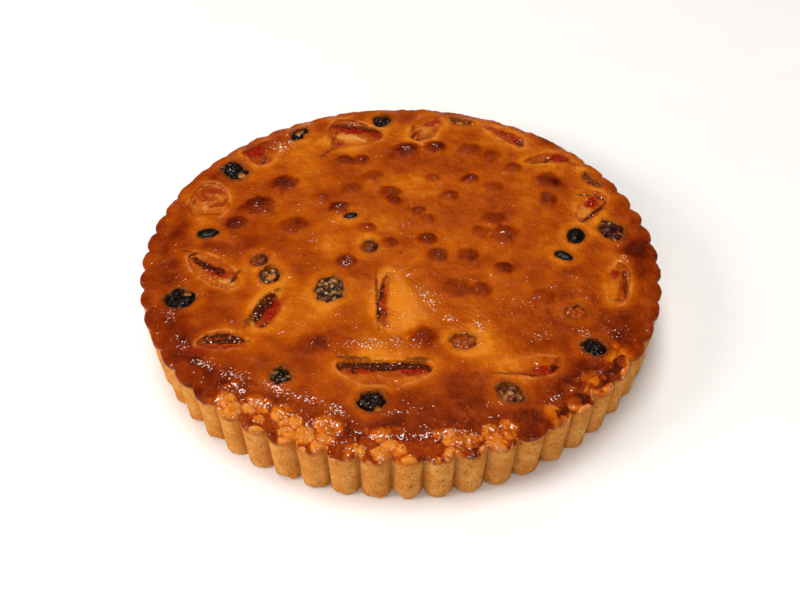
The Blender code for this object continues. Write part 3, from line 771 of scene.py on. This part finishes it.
def dark_berry_material():
    shader = Shader("drupelet_skin")
    mottle = shader.noise(1.3, 3.0, 0.6)
    black = shader.duo(mottle, (6, 4, 4), (24, 15, 12))
    colour = shader.lay(black, "red", shader.duo(mottle, (40, 6, 6), (108, 24, 20)))
    film = shader.wobble(shader.attribute("film"), (mottle, 0.5))
    film = shader.times(film, shader.spread(shader.attribute("film"), 0.0, 0.1))
    colour = shader.mix(shader.maths("MINIMUM", film, 1.0), colour, shader.ramp(
        shader.noise(2.2, 4.0), (0.34, (24, 15, 8)), (0.5, (106, 68, 30)),
        (0.64, (206, 158, 104))))
    veil = shader.wobble(shader.attribute("veil"), (shader.noise(3.0), 0.8))
    veil = shader.times(shader.spread(veil, 0.25, 0.75),
                        shader.spread(shader.attribute("veil"), 0.0, 0.1))
    colour = shader.mix(veil, colour, custard_colour(shader))
    core = shader.duo(shader.noise(0.9), (140, 76, 20), (204, 128, 50))
    colour = shader.lay(colour, "core", core)
    return glazed(shader, colour, shader.bump(mottle, 0.3, 0.4), 0.26)


def blueberry_material():
    shader = Shader("blueberry_skin")
    mottle = shader.noise(2.0, 3.0, 0.6)
    colour = shader.duo(mottle, (6, 5, 6), (24, 18, 18))
    colour = shader.lay(colour, "film", shader.duo(mottle, (92, 34, 8), (150, 68, 16)))
    return glazed(shader, colour, shader.bump(mottle, 0.25, 0.4), 0.25)


def crust_material():
    """Shortcrust: pale, sandy and speckled, and golden and glazed where its crumb is
    bare, which the attribute golden says."""
    shader = Shader("shortcrust")
    grain = shader.noise(0.8, 4.0, 0.7)
    base = shader.ramp(shader.noise(9.0, 4.0, 0.6), (0.28, (224, 140, 56)),
                       (0.5, (244, 165, 78)), (0.72, (255, 190, 106)))
    base = shader.mix(shader.spread(grain, 0.62, 0.36, 0.0, 0.45), base, (158, 84, 28))
    specks = shader.times(shader.spread(shader.cells(2.1), 0.26, 0.17),
                          shader.spread(shader.noise(2.6, 2.0), 0.49, 0.57))
    base = shader.mix(shader.times(specks, 0.55), base, (118, 62, 24))
    # Painted shade: the dips between the flutes are darkened, for the shade that falls in them.
    base = shader.lay(base, "valley", (160, 84, 30), 0.5)
    brown = shader.wobble(shader.attribute("brown"), (shader.noise(2.6, 4.0, 0.65), 0.5))
    crumb = shader.ramp(
        brown, (0.0, (238, 152, 54)), (0.22, (218, 120, 28)), (0.45, (186, 82, 10)),
        (0.7, (142, 48, 5)), (1.0, (84, 22, 3)))
    colour = shader.lay(base, "golden", crumb)
    colour = shader.lay(colour, "stain", (150, 78, 30))
    pores = shader.times(shader.spread(shader.cells(2.3), 0.34, 0.12),
                         shader.spread(shader.noise(5.0, 2.0), 0.48, 0.60))
    colour = shader.mix(shader.times(pores, 0.45), colour, (138, 72, 24))
    sand = shader.wobble(grain, (shader.noise(0.4, 2.0), 0.5), (pores, -1.2))
    normal = shader.bump(sand, 1.0, 0.6)
    golden = shader.attribute("golden")
    wet = shader.spread(shader.attribute("brown"), 0.0, 0.8, 0.74, 0.40)
    points, beads = sparkle(shader, wet, normal)
    return shader.finish(base_color=colour, roughness=shader.spread(golden, 0.0, 1.0, 0.9, 0.5),
                         normal=normal, coat_weight=shader.times(points, golden),
                         coat_normal=beads, specular_ior_level=0.05, **BEADS)


def floor_material():
    shader = Shader("pale_floor")
    colour = shader.duo(shader.noise(40.0, 2.0), (243, 247, 254), (245, 249, 255))
    return shader.finish(base_color=colour, roughness=0.75, specular_ior_level=0.15)


# ---------------------------------------------------------------- the custard

def ring_plan():
    """Radii of the custard's rings out to the shoulder, with the points of each ring."""
    plan = []
    radius = 2.0
    while radius < SHOULDER_RADIUS:
        count = COLUMNS
        limit = 84.0
        while radius < limit and count > 28:
            count //= 2
            limit /= 2.0
        plan.append((radius, count))
        radius += RING_STEP
    return plan


def facing(angle, way):
    """1 on the side of the pie that lies this way, and 0 on the other side."""
    return 0.5 + 0.5 * np.cos(np.radians(angle - way))


def surface_values(x, y):
    """Browning, glitter and glaze of the custard, which the fruit's film shares."""
    radius = np.hypot(x, y)
    angle = np.degrees(np.arctan2(y, x))
    mottle = rough_field(x, y, 5.0, 37.0)
    brown = 0.35 + 0.16 * field(x, y, 24.0, 31.0) + 0.16 * rough_field(x, y, 11.0, 33.0)
    glitter = 0.18 + 0.3 * np.maximum(0.0, rough_field(x, y, 9.0, 43.0, 2))
    for blister in BLISTERS:
        strength = blister[4]
        away = blister_distance(x, y, blister, 1.1)
        cover = strength * smooth(1.12, 0.62, away + 0.34 * mottle)
        brown += (0.34 + 0.16 * smooth(1.0, 0.0, away)) * cover
        glitter = np.maximum(glitter, 0.75 * strength * smooth(0.55, 0.2, away))
    for table, change in ((SCORCHES, 0.40), (PALE_SPOTS, -0.34)):
        for spot_x, spot_y, size, strength in table:
            brown += change * strength * hump(x, y, (spot_x, spot_y, size, size, 0.0), 1.2)
    front, left, back = facing(angle, 300.0), facing(angle, 190.0), facing(angle, 115.0)
    edge = smooth(112.0, 130.0, radius + 3.0 * field(x, y, 12.0, 39.0))
    brown += (0.18 * front + 0.24 * left + 0.16 * back) * edge
    brown += (0.18 * front ** 2 + 0.14 * left ** 2) * smooth(75.0, 110.0, radius)
    outer = smooth(124.0, 134.0, radius)
    brown -= (0.16 * left ** 2 + 0.26 * back ** 4 + 0.10 * front) * outer
    for *shape, strength in GLITTER:
        glitter = np.maximum(glitter, strength * hump(x, y, shape, 0.9))
    glaze = np.clip(0.7 + 0.35 * rough_field(x, y, 14.0, 41.0, 2), 0.25, 1.0)
    return dict(brown=brown, glitter=glitter, glaze=glaze)


def creases(x, y):
    """Thin folds of the custard's skin: 1 along them and 0 away from them."""
    near = np.abs(rough_field(x, y, 26.0, 15.0))
    gate = smooth(-0.05, 0.30, field(x, y, 30.0, 17.0))
    folds = smooth(0.085, 0.0, near) * gate
    near = np.abs(rough_field(x + 70.0, y, 15.0, 19.0))
    gate = smooth(0.05, 0.40, field(x, y, 21.0, 23.0))
    return np.maximum(folds, 0.7 * smooth(0.09, 0.0, near) * gate)


def custard_relief(x, y):
    """The custard's height with the wrinkles that the solid leaves out."""
    height = custard_base(x, y)
    height += 0.55 * rough_field(x, y, 13.0, 11.0)
    height += 0.14 * rough_field(x, y, 2.6, 13.0, 2)
    height += 0.25 * creases(x, y)
    for blister in BLISTERS:
        away = blister_distance(x, y, blister, 1.0, 0.92)
        height += 0.4 * blister[4] * np.sqrt(unit(1.0 - (away / 1.05) ** 2))
    return np.minimum(height, CEILING - 0.25 * bell(height, CEILING - 1.0, 1.0))


def custard_top(x, y):
    """The custard's surface with all its detail, and the values its colours need."""
    bare = bare_depth(x, y)
    border = smooth(-7.0, 0.0, bare)
    crumbs = nuggets(x, y, 8.6, 71.0)
    height = custard_relief(x, y) + edge_wrinkles(x, y)
    height += border * (1.3 * crumbs - 0.6)
    height -= 3.4 * smooth(0.0, 5.0, bare)
    values = surface_values(x, y)
    glazed_crumb = 0.02 + 0.62 * smooth(0.40, 0.05, crumbs)
    values["brown"] = np.minimum(values["brown"], 0.90)
    values["brown"] += 0.85 * border * (glazed_crumb - values["brown"])
    right = smooth(275.0, 312.0, np.degrees(np.arctan2(y, x)) % 360.0)
    values["glitter"] = np.maximum(values["glitter"], (0.85 - 0.45 * right) * border)
    values.update(height=height, film=np.zeros(len(x)), brink=np.zeros(len(x)),
                  # The folds' mask, which the material also uses for a faint painted highlight.
                  crease=creases(x, y) * (1.0 - border),
                  red=0.72 * marks(RED_MARKS, x, y, 0.5, 0.3, 201.0),
                  char=0.8 * marks(DARK_MARKS, x, y, 0.25, 0.35, 203.0),
                  pale=0.3 * marks(FILM_MARKS, x, y, 0.6, 0.3, 205.0))
    return values


def press_in_fruit(x, y, top):
    """Pulls the surface's points onto the fruits' outlines, sinks them inside, raises a
    lip round them, stains it, and paints a pale highlight line round each strawberry."""
    for fruit in STRAWBERRIES + DARK_BERRIES + BLUEBERRIES:
        near = np.hypot(x - fruit.centre[0], y - fruit.centre[1]) < fruit.reach + 9.0
        rows = np.nonzero(near)[0]
        gap, nearest = fruit.distance(x[rows], y[rows])
        snap = np.abs(gap) < 0.45 * RING_STEP
        x[rows[snap]] = nearest[snap, 0]
        y[rows[snap]] = nearest[snap, 1]
        gap[snap] = 0.0
        top["brink"][rows[snap]] = 1.0
        spots = x[rows], y[rows]
        outside = np.maximum(gap, 0.0)
        top["height"][rows] -= 5.0 * smooth(0.05, -0.85, gap)
        if fruit in STRAWBERRIES:
            lip = smooth(0.2, 0.8, fruit.towards_lip(*spots))
            top["brown"][rows] -= 0.24 * bell(outside, 1.5, 3.5)
            top["height"][rows] += 0.26 * fruit.look["sink"] * lip * bell(outside, 1.3, 1.4)
            top["char"][rows] *= smooth(-0.2, 0.3, gap)
            # Painted highlight: a pale, broken line just outside each strawberry, for the light on the
            # custard's edge.
            patchy = smooth(-0.25, 0.25, rough_field(*spots, 8.0, 57.0, 2))
            cream = 0.75 * patchy * bell(outside, 1.0, 0.9)
            top["pale"][rows] = np.maximum(top["pale"][rows], cream)
        else:
            top["brown"][rows] -= 0.20 * bell(outside, 3.0, 3.0)
            top["height"][rows] += 0.30 * bell(outside, 1.2, 1.1)
            reach = 1.1 + 0.9 * rough_field(*spots, 4.0, 53.0, 2)
            stain = 0.6 * bell(outside, 0.0, np.maximum(reach, 0.5))
            top["film"][rows] = np.maximum(top["film"][rows], stain)


def build_custard():
    sheet = Sheet()
    rings = [sheet.ring(circle(radius, column_angles(count), 0.0))
             for radius, count in ring_plan()]
    angle = column_angles()
    full = custard_edge(angle)
    bare = smooth(-1.5, 1.5, bare_depth(*circle(full, angle, 0.0).T[:2]))
    reach = full - 2.6 * bare - SHOULDER_RADIUS
    for share in np.linspace(0.0, 1.0, EDGE_STEPS):
        rings.append(sheet.ring(circle(SHOULDER_RADIUS + reach * share, angle, 0.0)))
    x, y = np.concatenate(sheet.points)[:, :2].T.copy()
    top = custard_top(x, y)
    press_in_fruit(x, y, top)
    top["height"][rings[-1]] -= 0.5
    top["height"][rings[-2]] -= 0.12
    sheet.points = [np.stack([x, y, top["height"]], 1)]
    rim = sheet.points[0][rings[-1]]
    outer = np.minimum(np.hypot(rim[:, 0], rim[:, 1]), RIM_RADIUS - 0.4)
    fall = (3.0 + 1.3 * rim_noise(angle, 3.0, 61.0, 3)) * (1.0 - bare) + 0.6 * bare
    drip = ((0.28, 0.20), (0.34, 0.50), (0.10, 0.82), (-0.7, 1.0), (-3.0, 0.95))
    last = sheet.carry_on(rings[-1], [circle(outer + outwards, angle, rim[:, 2] - share * fall)
                                      for outwards, share in drip])
    sheet.bands(rings)
    sheet.fan(rings[0], (0.0, 0.0, top["height"][0]))
    sheet.close(last, ((CUSTARD_SIDE_RADIUS, 24.0, COLUMNS),
                       (CUSTARD_SIDE_RADIUS - 0.3, UNDERSIDE, COLUMNS // 2),
                       (80.0, UNDERSIDE, COLUMNS // 4), (20.0, UNDERSIDE, COLUMNS // 8)),
                upward=False)
    values = {}
    for key in ("brown", "glaze", "glitter", "red", "film", "char", "pale", "crease"):
        below = np.resize(top[key][rings[-1]], sheet.count - len(x))
        if key == "brown":
            below -= 0.08
        values[key] = np.clip(np.concatenate([top[key], below]), 0.0, 1.3)
    made = sheet.build("custard", values, custard_material())
    sharpen(made.data, np.nonzero(top["brink"])[0])
    return made


# ---------------------------------------------------------------- the crust

def crumb_height(x, y, angle):
    """Height of the rim's top, how bare it is, and how deep in a groove each point is."""
    bare = smooth(-4.0, 0.5, bare_depth(x, y))
    shift = 1.2 * field(x, y, 4.0, 73.0)
    large = nuggets(x + shift, y - shift, 8.6, 71.0)
    small = nuggets(x - shift, y, 3.6, 75.0)
    lump = 1.6 * large + 0.45 * small + 0.8 * rough_field(x, y, 8.0, 77.0)
    lump += 0.5 * (0.5 - flute_phase(angle) ** 2)
    height = COVERED_TOP * (1.0 - bare) + (RIM_HEIGHT - 1.5 + lump) * bare
    groove = smooth(0.26, 0.0, large) + 0.2 * smooth(0.3, 0.0, small)
    return height, bare, unit(groove)


def build_crust():
    angle = column_angles()
    turn = np.radians(angle)
    sheet = Sheet()
    rows = dict(golden=[], valley=[], brown=[], stain=[])

    def note(**shares):
        for key, parts in rows.items():
            parts.append(shares.get(key, np.zeros(COLUMNS)))

    crest = wall_radius(angle, np.full(COLUMNS, RIM_HEIGHT))
    _, edge_bare, edge_groove = crumb_height(*circle(crest, angle, 0.0).T[:2], angle)
    covered = 1.0 - edge_bare
    chipped = np.maximum(0.0, rim_noise(angle, 2.6, 81.0, 4) - 0.05)
    rings = []
    for level in (0.0, 0.3, 0.7, 1.2, 1.8, 2.5, 3.3, *np.arange(4.2, 28.0, 0.95), 28.4, 29.0):
        height = np.full(COLUMNS, level)
        radius = wall_radius(angle, height)
        around = 137.0 * turn
        radius -= 0.30 + 0.45 * np.maximum(0.0, rough_field(around, height, 12.0, 91.0))
        radius -= 0.30 * np.abs(rough_field(around, height, 2.6, 93.0))
        radius -= 0.9 * smooth(0.36, 0.60, field(around, height, 3.0, 95.0))
        radius -= covered * 0.8 * smooth(24.0, 28.0, height)
        radius -= (0.30 + 4.0 * chipped) * smooth(1.0 + 5.0 * chipped, 0.0, height) ** 1.3
        rings.append(sheet.ring(circle(radius, angle, level)))
        note(golden=edge_bare * smooth(26.0, 29.0, height) * 0.8,
             # painted shade in the dips between the flutes
             valley=smooth(0.70, 1.0, flute_phase(angle)),
             brown=0.3 + 0.3 * edge_groove,
             stain=covered * 0.5 * smooth(27.0 + 2.0 * chipped, 29.0, height))
    edge = crest - 0.15 - 1.1 * covered
    for step in range(RIM_STEPS + 1):
        share = step / RIM_STEPS
        radius = edge * (1.0 - share) + (CASE_INNER_RADIUS + 0.5) * share
        radius -= 0.5 * np.abs(rim_noise(angle, 1.6, 97.0, 2)) * (1.0 - share)
        radius -= 0.45 if step == 0 else 0.0
        x, y = circle(radius, angle, 0.0).T[:2]
        height, bare, groove = crumb_height(x, y, angle)
        height -= bare * 1.9 * max(0.0, 1.0 - step / 3.0) ** 1.6
        height = np.where(bare < 0.05, np.minimum(height, COVERED_TOP - 6.0 * share), height)
        rings.append(sheet.ring(np.stack([x, y, height], 1)))
        inner_edge = smooth(2.5, 0.0, bare_depth(x, y))
        patch = smooth(0.2, 0.6, rough_field(x, y, 7.0, 99.0))
        right = 0.55 - 0.50 * smooth(5.5, 1.5, edge - radius)
        right = right * smooth(275.0, 312.0, angle % 360.0)
        note(golden=bare, brown=0.10 + right + 0.55 * groove + 0.16 * patch + 0.4 * inner_edge)
    sheet.bands(rings[::-1])
    sheet.close(rings[-1], ((CASE_INNER_RADIUS, 20.0, COLUMNS // 2),
                            (CASE_INNER_RADIUS, CASE_FLOOR, COLUMNS // 4),
                            (60.0, CASE_FLOOR, COLUMNS // 8)), upward=True)
    sheet.close(rings[0], ((126.0, 0.0, COLUMNS // 2), (90.0, 0.0, COLUMNS // 4),
                           (40.0, 0.0, COLUMNS // 8)), upward=False)
    values = {key: np.clip(np.concatenate(parts), 0.0, 1.2) for key, parts in rows.items()}
    return sheet.build("crust_case", values, crust_material())


# ---------------------------------------------------------------- the fruit

def fruit_sheet(fruit, columns, rings, surface):
    """A closed body over a fruit's outline: rings out from its middle, then down."""
    leg = np.roll(fruit.outline, -1, axis=0) - fruit.outline
    length = np.concatenate([[0.0], np.cumsum(np.hypot(*leg.T))])
    loop = np.concatenate([fruit.outline, fruit.outline[:1]])
    spots = np.linspace(0.0, length[-1], columns, endpoint=False)
    edge = np.stack([np.interp(spots, length, loop[:, i]) for i in range(2)], 1)
    spokes = edge - fruit.centre
    spokes = spokes * (1.0 + HIDDEN_EDGE / np.hypot(*spokes.T)[:, None])
    sheet = Sheet()
    made = [sheet.ring(np.column_stack([fruit.centre + spokes * step / rings,
                                        np.zeros(columns)]))
            for step in range(1, rings + 1)]
    sheet.bands(made)
    flat = np.concatenate([np.concatenate(sheet.points)[:, :2], fruit.centre[None]])
    height, values = surface(fruit, flat[:, 0], flat[:, 1])
    sheet.points = [np.column_stack([flat, height])[:-1]]
    sheet.fan(made[0], (*fruit.centre, height[-1]))
    rim = sheet.points[0][made[-1]]
    spokes = rim[:, :2] - fruit.centre
    loops = [np.column_stack([fruit.centre + spokes * share, rim[:, 2] - FRUIT_DEPTH * drop])
             for share, drop in ((0.98, 0.25), (0.8, 0.7), (0.4, 1.0))]
    bottom = (*fruit.centre, float(rim[:, 2].mean()) - FRUIT_DEPTH)
    sheet.fan(sheet.carry_on(made[-1], loops), bottom, outward=False)
    return sheet, values


def strawberry_surface(fruit, x, y):
    """Height and values of a strawberry piece: flesh, red skin, char with painted shade under the lip,
    and custard film.
    """
    look = fruit.look
    inside, outside = fruit.inside_outside(x, y)
    share = fruit.towards_lip(x, y) + 0.18 * rough_field(x, y, 6.0, 101.0)
    lip = smooth(0.2, 0.8, share)
    film = smooth(look["film"] + 0.12, look["film"] - 0.10, share)
    film = np.maximum(film, (1.0 - lip) * bell(inside, 0.0, 1.0))
    film = np.maximum(film, marks(FILM_MARKS, x, y, 0.5, 0.3, 205.0))
    pale = look["pale"] * (0.7 + 0.5 * rough_field(x, y, 6.0, 103.0))
    pale = np.maximum(pale, marks(PALE_MARKS, x, y, 0.5, 0.3, 207.0))
    red = marks(RED_MARKS, x, y, 0.35, 0.35, 201.0)
    char = marks(DARK_MARKS, x, y, 0.25, 0.4, 203.0)
    # Painted shade: a faint dark line along the face's edge under the custard's lip.
    ragged = 0.4 + 0.7 * np.abs(rough_field(x, y, 2.2, 107.0, 2))
    char = np.maximum(char, 0.08 * lip * bell(inside, 0.0, ragged))
    # A dark band on the lip's side of some pieces: charred skin, with painted shade under the lip.
    if look["dark"]:
        frayed = share + 0.16 * rough_field(x, y, 3.0, 109.0, 2)
        char = np.maximum(char, 0.95 * smooth(look["dark"], look["dark"] + 0.10, frayed))
    height = custard_relief(x, y) - 0.05 - 0.28 * look["sink"] * smooth(0.2, 0.9, share)
    height += edge_wrinkles(x, y)
    height -= 0.35 * outside
    height += 0.4 * smooth(0.0, 0.5 * fruit.reach, inside) * smooth(0.0, 0.4, share)
    height += 0.28 * rough_field(x, y, 3.4, 105.0) * (1.0 - film)
    height -= 0.6 * char
    values = surface_values(x, y)
    values.update(brown=values["brown"] - 0.24,
                  glitter=np.maximum(values["glitter"], np.maximum(0.32, 0.55 * char)),
                  glaze=np.full(len(x), 0.9), red=red, char=char,
                  pale=unit(pale),
                  film=unit(film * (1.0 - 0.8 * red)))
    return height, values


def drupelets(fruit, random):
    """Centres, radii and tones of a berry's drupelets, packed inside its outline."""
    spots = []
    step = 3.7
    for row in range(-4, 5):
        for place in range(-4, 5):
            spot = fruit.centre + np.array([(place + 0.5 * (row % 2)) * step, row * step * 0.87])
            spot = spot + random.uniform(-0.7, 0.7, 2)
            if np.hypot(*(spot - fruit.centre)) > fruit.reach + 1.0:
                continue
            if fruit.distance(spot[:1], spot[1:])[0][0] < -0.5:
                spots.append((*spot, random.uniform(1.9, 2.9), random.uniform(0.0, 1.0)))
    return spots


def dark_berry_surface(fruit, x, y):
    """Height and values of a dark berry: drupelets on a low dome, and its split core."""
    look = fruit.look
    random = np.random.default_rng(700 + DARK_BERRIES.index(fruit))
    inside, outside = fruit.inside_outside(x, y)
    base = custard_base(x, y) - 0.9 + (fruit.rise() - 0.4) * smooth(0.0, 4.0, inside)
    base -= 0.5 * outside
    height = base - 0.9
    tone = np.zeros(len(x))
    for lobe_x, lobe_y, size, own in drupelets(fruit, random):
        away = np.hypot(x - lobe_x, y - lobe_y)
        taller = base - 1.0 + 0.8 * np.sqrt(np.maximum(0.0, size ** 2 - away ** 2))
        higher = taller > height
        height = np.where(higher, taller, height)
        tone = np.where(higher, own, tone)
    core = np.zeros(len(x))
    if look["core"]:
        core_x, core_y, size = look["core"]
        away = np.hypot(x - fruit.centre[0] - core_x, y - fruit.centre[1] - core_y)
        away += 0.8 * rough_field(x, y, 3.0, 111.0, 2)
        core = smooth(size + 0.5, size - 0.5, away)
        height = height * (1.0 - core) + (base - 0.9) * core
    patchy = rough_field(x, y, 4.5, 113.0)
    film = smooth(0.0, 1.0, look["film"] + 0.35 * (tone - 0.5) + 0.8 * patchy)
    film = film * min(1.0, 20.0 * look["film"])
    film = np.maximum(film, 0.5 * bell(inside, 0.0, 0.4))
    red = look["red"] * (0.4 + 0.7 * tone + 0.5 * patchy)
    veil = np.maximum(look["veil"], 0.7 * smooth(0.7, 0.0, inside) * (look["veil"] > 0))
    steady = np.ones(len(x))
    return np.minimum(height, fruit.top - 0.1), dict(
        core=core, film=unit(film), red=unit(red), veil=veil, brown=0.45 * steady,
        glitter=0.34 * steady, glaze=0.9 * steady)


def blueberry_surface(fruit, x, y):
    """Height and values of a blueberry: a smooth dome, with custard over some."""
    inside = fruit.inside_outside(x, y)[0]
    width = 0.42 * fruit.reach + 1.2
    dome = np.sqrt(unit(1.0 - (1.0 - np.minimum(inside / width, 1.0)) ** 2))
    height = custard_base(x, y) - 1.2 + (fruit.rise() + 0.9) * dome
    height = np.minimum(height + 0.15 * rough_field(x, y, 4.0, 121.0, 2), fruit.top - 0.05)
    lean = (x - fruit.centre[0]) / fruit.reach + 0.35 * rough_field(x, y, 3.0, 123.0, 2)
    film = np.clip(0.62 - 0.40 * lean, 0.2, 0.95) * fruit.look["veiled"]
    film = unit(film + 0.5 * bell(inside, 0.0, 0.4))
    steady = np.ones(len(x))
    return height, dict(film=film, glitter=0.15 * steady, glaze=0.9 * steady)


def build_fruits():
    """Every piece of fruit, as the piece, its node and its slot."""
    kinds = ((STRAWBERRIES, 190, 34, strawberry_surface, strawberry_material(), "strawberry"),
             (DARK_BERRIES, 110, 28, dark_berry_surface, dark_berry_material(), "dark_berry"),
             (BLUEBERRIES, 80, 20, blueberry_surface, blueberry_material(), "blueberry"))
    for kind, columns, rings, surface, finish, slot in kinds:
        for fruit in kind:
            sheet, values = fruit_sheet(fruit, columns, rings, surface)
            yield sheet.build(f"{fruit.name}_piece", values, finish), fruit.name, slot


# ---------------------------------------------------------------- floor, light, camera

def build_floor():
    half = FLOOR_HALF
    mesh = bpy.data.meshes.new("floor")
    mesh.from_pydata([(-half, -half, 0), (half, -half, 0), (half, half, 0), (-half, half, 0)],
                     [], [(0, 1, 2, 3)])
    mesh.materials.append(floor_material())
    made = add_object("floor", mesh)
    made.location.z = -FLOOR_DROP


def build_lights():
    """A dim world, and lamps that face the pie from their places."""
    world = bpy.data.worlds.new("studio")
    bpy.context.scene.world = world
    world.use_nodes = True
    background = world.node_tree.nodes["Background"]
    background.inputs["Color"].default_value = WORLD_COLOUR
    background.inputs["Strength"].default_value = WORLD_STRENGTH
    for name, kind, place, width, power, colour in LAMPS:
        lamp = bpy.data.lights.new(name, kind)
        lamp.energy = power
        lamp.color = colour
        if kind == "SUN":
            lamp.angle = math.radians(width)
        else:
            lamp.shape = "DISK"
            lamp.size = width
        made = add_object(name, lamp)
        made.location = place
        made.rotation_mode = "QUATERNION"
        made.rotation_quaternion = (-Vector(place)).to_track_quat("-Z", "Y")


def build_camera():
    lift = math.radians(CAMERA_ELEVATION)
    data = bpy.data.cameras.new("camera")
    data.sensor_width = SENSOR_WIDTH
    data.lens = SENSOR_WIDTH * LENS_PIXELS / IMAGE_WIDTH
    data.clip_start = 0.05
    data.clip_end = 20.0
    made = add_object("camera", data)
    back = np.array([0.0, -math.cos(lift), math.sin(lift)])
    made.location = np.array(CAMERA_TARGET) + CAMERA_DISTANCE * back
    made.rotation_euler = (math.radians(90.0) - lift, 0.0, 0.0)
    bpy.context.scene.camera = made


# ---------------------------------------------------------------- putting it together

def place(piece, node, slot):
    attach(piece, "root")
    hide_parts(node)


place(build_crust(), "crust", "crust")
place(build_custard(), "filling", "custard")
for piece, node, slot in build_fruits():
    place(piece, node, slot)
build_floor()
build_lights()
build_camera()
bpy.context.scene.view_settings.view_transform = "Standard"
